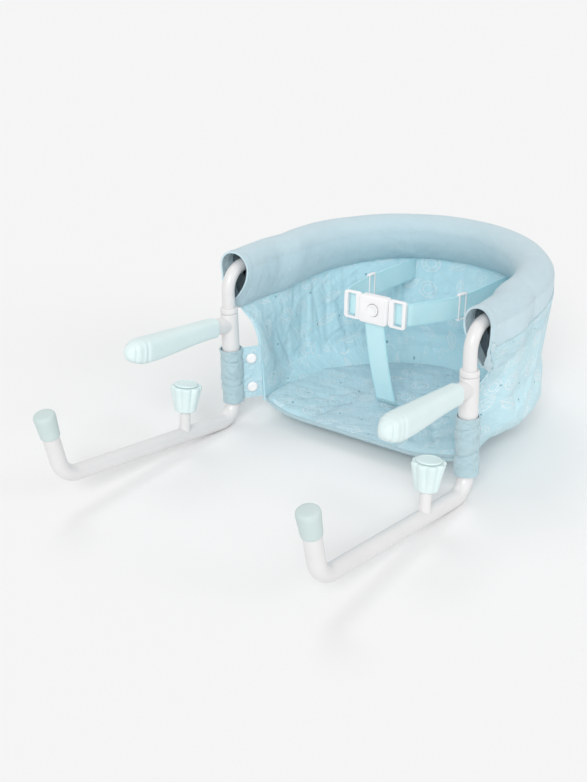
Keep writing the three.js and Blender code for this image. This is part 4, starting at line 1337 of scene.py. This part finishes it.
def waist_straps():
    for side, sign in SIDES.items():
        line, length = even_line(waist_line(sign), STRAP_STEPS)
        line = [Vector((place.x, place.y, 0)) for place in line]
        strap(f"{side}_waist_strap_look", line, length, HARNESS, Vector((0, 0, 1)), f"{side}_waist_strap")
        i = round(SLIDER_REACH / length * STRAP_STEPS)
        along = (line[i + 1] - line[i - 1]).normalized()
        turn = Matrix.Rotation(math.atan2(along.y, along.x) - math.pi / 2, 4, "Z")
        strap_slider(side, HARNESS @ Matrix.Translation(line[i]) @ turn)


def framed(name, width, height, thickness, corner=0, slot=None):
    """A flat plate in the XZ plane, with round corners or a slot (its middle, width and height) if given."""
    piece = block(name, width, thickness, height)
    if corner:
        for part in (*piece.data.vertices, *piece.data.polygons):
            part.select = False
        bpy.context.tool_settings.mesh_select_mode = (False, True, False)
        for edge in piece.data.edges:
            ends = [piece.data.vertices[i].co for i in edge.vertices]
            edge.select = abs(ends[0].y - ends[1].y) > thickness / 2
        bpy.ops.object.mode_set(mode="EDIT")
        bpy.ops.mesh.bevel(offset=corner, segments=5, affect="EDGES")
        bpy.ops.object.mode_set(mode="OBJECT")
    if slot:
        middle, slot_width, slot_height = slot
        cut(piece, block("slot", slot_width, thickness * 3, slot_height, middle))
    return piece


def strap_slider(side, matrix):
    """A loop round the webbing, open on both faces and along it."""
    opening = STRAP_WIDTH + 0.0006
    name = f"{side}_strap_slider_look"
    piece = framed(name, 0.0048, STRAP_WIDTH + 0.0056, 0.0150, slot=(0, 0.0022, opening))
    cut(piece, block("window", 0.02, 0.0096, opening))
    moved(rounded(piece, width=0.0007, segments=3), matrix)
    dress(piece, "white_plastic", "seat_frame", f"{side}_strap_slider")


def crotch_strap():
    """Webbing sewn flat to the floor that rises, a little bowed, to the buckle."""
    bow = 0.003
    steps = 12
    top = HARNESS @ Vector((0, -BUCKLE_REACH, -BUCKLE_HEIGHT / 2 - 0.0004))
    foot = FLOOR_TOP - 0.0008
    corners = [Vector((0, CROTCH_FRONT + CROTCH_SEWN, foot - 0.0035)), Vector((0, CROTCH_FRONT, foot)),
               Vector((0, top.y, top.z))]
    places = bent_places(corners, [0.012])
    line = places[:-1]
    for share in shares(steps)[1:]:
        place = places[-2].lerp(places[-1], share)
        place.y -= bow * math.sin(math.pi * share)
        line.append(place)
    shift = Matrix.Translation((BUCKLE_OFFSET, 0, 0))
    strap("crotch_strap_look", line, run_lengths(line)[-1], shift, Vector((1, 0, 0)), "crotch_strap")


def buckle():
    """A buckle: a shell with a round button, and a slotted tongue at each end."""
    corner = 0.004
    half = TONGUE_LENGTH / 2
    facing = Matrix.Rotation(math.pi / 2, 4, "X")
    shell = framed("buckle_body_look", BUCKLE_LENGTH, BUCKLE_HEIGHT, BUCKLE_THICKNESS, corner)
    bpy.ops.mesh.primitive_cylinder_add(vertices=48, radius=0.0078, depth=0.0118, location=(0, -0.0073, 0),
                                        rotation=(math.pi / 2, 0, 0))
    well = active("well")
    bpy.ops.object.transform_apply(location=True, rotation=True)
    cut(shell, well)
    rounded(shell, width=0.0018, segments=4)
    dress(moved(shell, BUCKLE), "white_plastic", "seat_frame", "buckle_body")

    rings = [(0.0075, 0.0056), (0.0075, 0.0066), (0.0071, 0.0072), (0.0060, 0.0073), (0.0056, 0.0070),
             (0.0030, 0.0066)]
    button = turned("buckle_button_look", rings, sides=48)
    moved(button, BUCKLE @ facing)
    dress(smoothed(button, angle=50), "white_plastic", "buckle_button_body", "buckle_button")

    slot = (SLOT_MIDDLE - TONGUE_ROOT - half, SLOT_WIDTH, STRAP_WIDTH + 0.0012)
    tongue = framed("tongue", TONGUE_LENGTH, BUCKLE_HEIGHT, TONGUE_THICKNESS, corner, slot)
    rounded(tongue, width=0.0012, segments=4)
    moved(tongue, Matrix.Translation((TONGUE_ROOT + half, 0, 0)))
    for side, sign in SIDES.items():
        turn = Matrix.Rotation(math.pi if sign < 0 else 0, 4, "Z")
        copy = copied(tongue, f"{side}_buckle_tongue_look", BUCKLE @ turn)
        dress(copy, "white_plastic", "seat_frame", f"{side}_buckle_tongue")
    bpy.data.objects.remove(tongue)


# Seams


def cord(name, places, radius, slot):
    # Every cord wears the darker sleeve cloth; on the roll's two seams its darker colour is painted shade
    # along the seam
    dress(tube(name, places, radius), "sleeve_fabric", "seat_frame", slot=slot)


def stitches(name, places):
    """A row of short threads: every other stretch of the line is drawn."""
    row = threads(name, list(zip(places[::2], places[1::2])), radius=0.00035, roundness=0)
    dress(smoothed(row, angle=50), "thread", "seat_frame", slot="wall_fabric")


def piping():
    """Cords along the roll's seam, the outer cloth's sewn edge and the front of the floor."""
    steps = 220
    seam_start = WALL_FRONT - 0.006
    outer_start = ROLL_FRONT + 0.001
    seam = []
    outer = []
    for share in shares(steps):
        run = lerp(seam_start, RIM_LENGTH - seam_start, share)
        centre, _ = rim_at(run)
        seam.append(rim_place(run, SEAM_OFFSET, RIM_HEIGHT - roll_drop(centre.y) - 0.0004))
        run = lerp(outer_start, RIM_LENGTH - outer_start, share)
        outwards, z = outer_band(run, 1)
        outer.append(rim_place(run, outwards - 0.0006, z))
    front = [spot for spot in floor_edge(400) if spot.y < FLOOR_CORNER_Y - 0.004]
    edge = [Vector((spot.x, spot.y, PAD_BOTTOM + 0.0004 + floor_lift(spot))) for spot in front]
    cord("roll_seam", seam, radius=0.0013, slot="roll_fabric")
    cord("outer_seam", outer, radius=0.0011, slot="roll_fabric")
    cord("floor_piping", edge, radius=0.0020, slot="wall_fabric")


def stitching():
    """Rows of stitches along the front of the floor, down the wall's back seams and round the flaps."""
    inset = 0.075
    front = [spot for spot in floor_edge(420) if spot.y < FLOOR_FRONT + 0.001]
    hem = [spot.lerp(FLOOR_MIDDLE, inset) for spot in front]
    stitches("floor_stitches", [Vector((spot.x, spot.y, FLOOR_TOP + 0.0001)) for spot in hem])
    for side, sign in SIDES.items():
        line = []
        for share in shares(79):
            seam = RIM_LENGTH / 2 + sign * (BACK_SEAM_REACH + 0.004)
            run, outwards, z = wall_place(seam, lerp(0.02, 0.9, share))
            line.append(rim_place(run, outwards - WALL_CLOTH / 2 - 0.0004, z))
        stitches(f"{side}_back_stitches", line)
    stitch = 0.0018
    high, low = SLEEVE_TOP - 0.004, SLEEVE_BOTTOM + 0.004
    near, far = SLEEVE_RADIUS + 0.003, FLAP_END - 0.003
    for side, sign in SIDES.items():
        face = -sign * (FLAP_THICKNESS / 2 + 0.0002)
        corners = [Vector((face, y, z)) for y, z in ((near, high), (far, high), (far, low), (near, low))]
        line = []
        for before, after in zip(corners, corners[1:]):
            count = round((after - before).length / stitch)
            line += [before.lerp(after, i / count) for i in range(count)]
        stitches(f"{side}_flap_stitches", [post_flap_frame(sign) @ place for place in line])


rim_tube()
lower_arm()
arm_tee()
pivot_bush()
arm_grip()
hook_cap()
clamp_boss()
clamp_knob()
clamp_pad()
padded_roll()
seat_wall()
outer_wall()
floor_pad()
floor_underside()
post_sleeves()
press_studs()
waist_straps()
crotch_strap()
buckle()
piping()
stitching()


# Camera, light and ground


def camera():
    """The photograph's camera: the directions to its right, up and back, and its place."""
    right = Vector((0.7930, 0.6087, -0.0260))
    up = Vector((-0.2358, 0.3460, 0.9081))
    back = Vector((0.5618, -0.7140, 0.4179))
    eye = SET_DOWN @ Vector((0.7717, -1.0730, 0.6966))
    data = bpy.data.cameras.new("camera")
    data.lens = 56.8
    data.sensor_width = 36
    lookout = bpy.data.objects.new("camera", data)
    turn = Matrix((right, up, back)).transposed().to_4x4()
    lookout.matrix_world = Matrix.Translation(eye) @ turn
    scene.collection.objects.link(lookout)
    scene.camera = lookout


def sun(name, place, strength):
    data = bpy.data.lights.new(name, "SUN")
    data.energy = strength
    data.angle = math.radians(25)
    light = bpy.data.objects.new(name, data)
    light.rotation_euler = (-Vector(place)).to_track_quat("-Z", "Y").to_euler()
    scene.collection.objects.link(light)


def studio():
    """Pale paper under a white sky that the camera sees as a light grey backdrop."""
    bpy.ops.mesh.primitive_plane_add(size=80, location=(0, 0, -0.0006))
    ground = active("ground")
    paper = Finish("paper", 0.9, Specular_IOR_Level=0.0)
    paper.set("Base Color", shade(246, 246, 246))
    ground.data.materials.append(paper.material)
    world = bpy.data.worlds.new("studio")
    scene.world = world
    world.use_nodes = True
    nodes = world.node_tree.nodes
    light = nodes["Background"]
    light.inputs["Color"].default_value = (1, 1, 1, 1)
    light.inputs["Strength"].default_value = 0.64
    backdrop = nodes.new("ShaderNodeBackground")
    backdrop.inputs["Color"].default_value = shade(245, 245, 245)
    choice = nodes.new("ShaderNodeMixShader")
    rays = nodes.new("ShaderNodeLightPath")
    join = world.node_tree.links.new
    seen = rays.outputs["Is Camera Ray"]
    for kind in ("Is Glossy Ray", "Is Transmission Ray"):
        either = nodes.new("ShaderNodeMath")
        either.operation = "MAXIMUM"
        join(seen, either.inputs[0])
        join(rays.outputs[kind], either.inputs[1])
        seen = either.outputs[0]
    join(seen, choice.inputs[0])
    join(light.outputs[0], choice.inputs[1])
    join(backdrop.outputs[0], choice.inputs[2])
    join(choice.outputs[0], nodes["World Output"].inputs["Surface"])
    sun("key", place=(-0.7, 0.3, 1.6), strength=0.30)
    sun("front", place=(0.45, -0.85, 0.60), strength=1.30)
    sun("side", place=(0.95, 0.05, 0.45), strength=0.36)


camera()
studio()
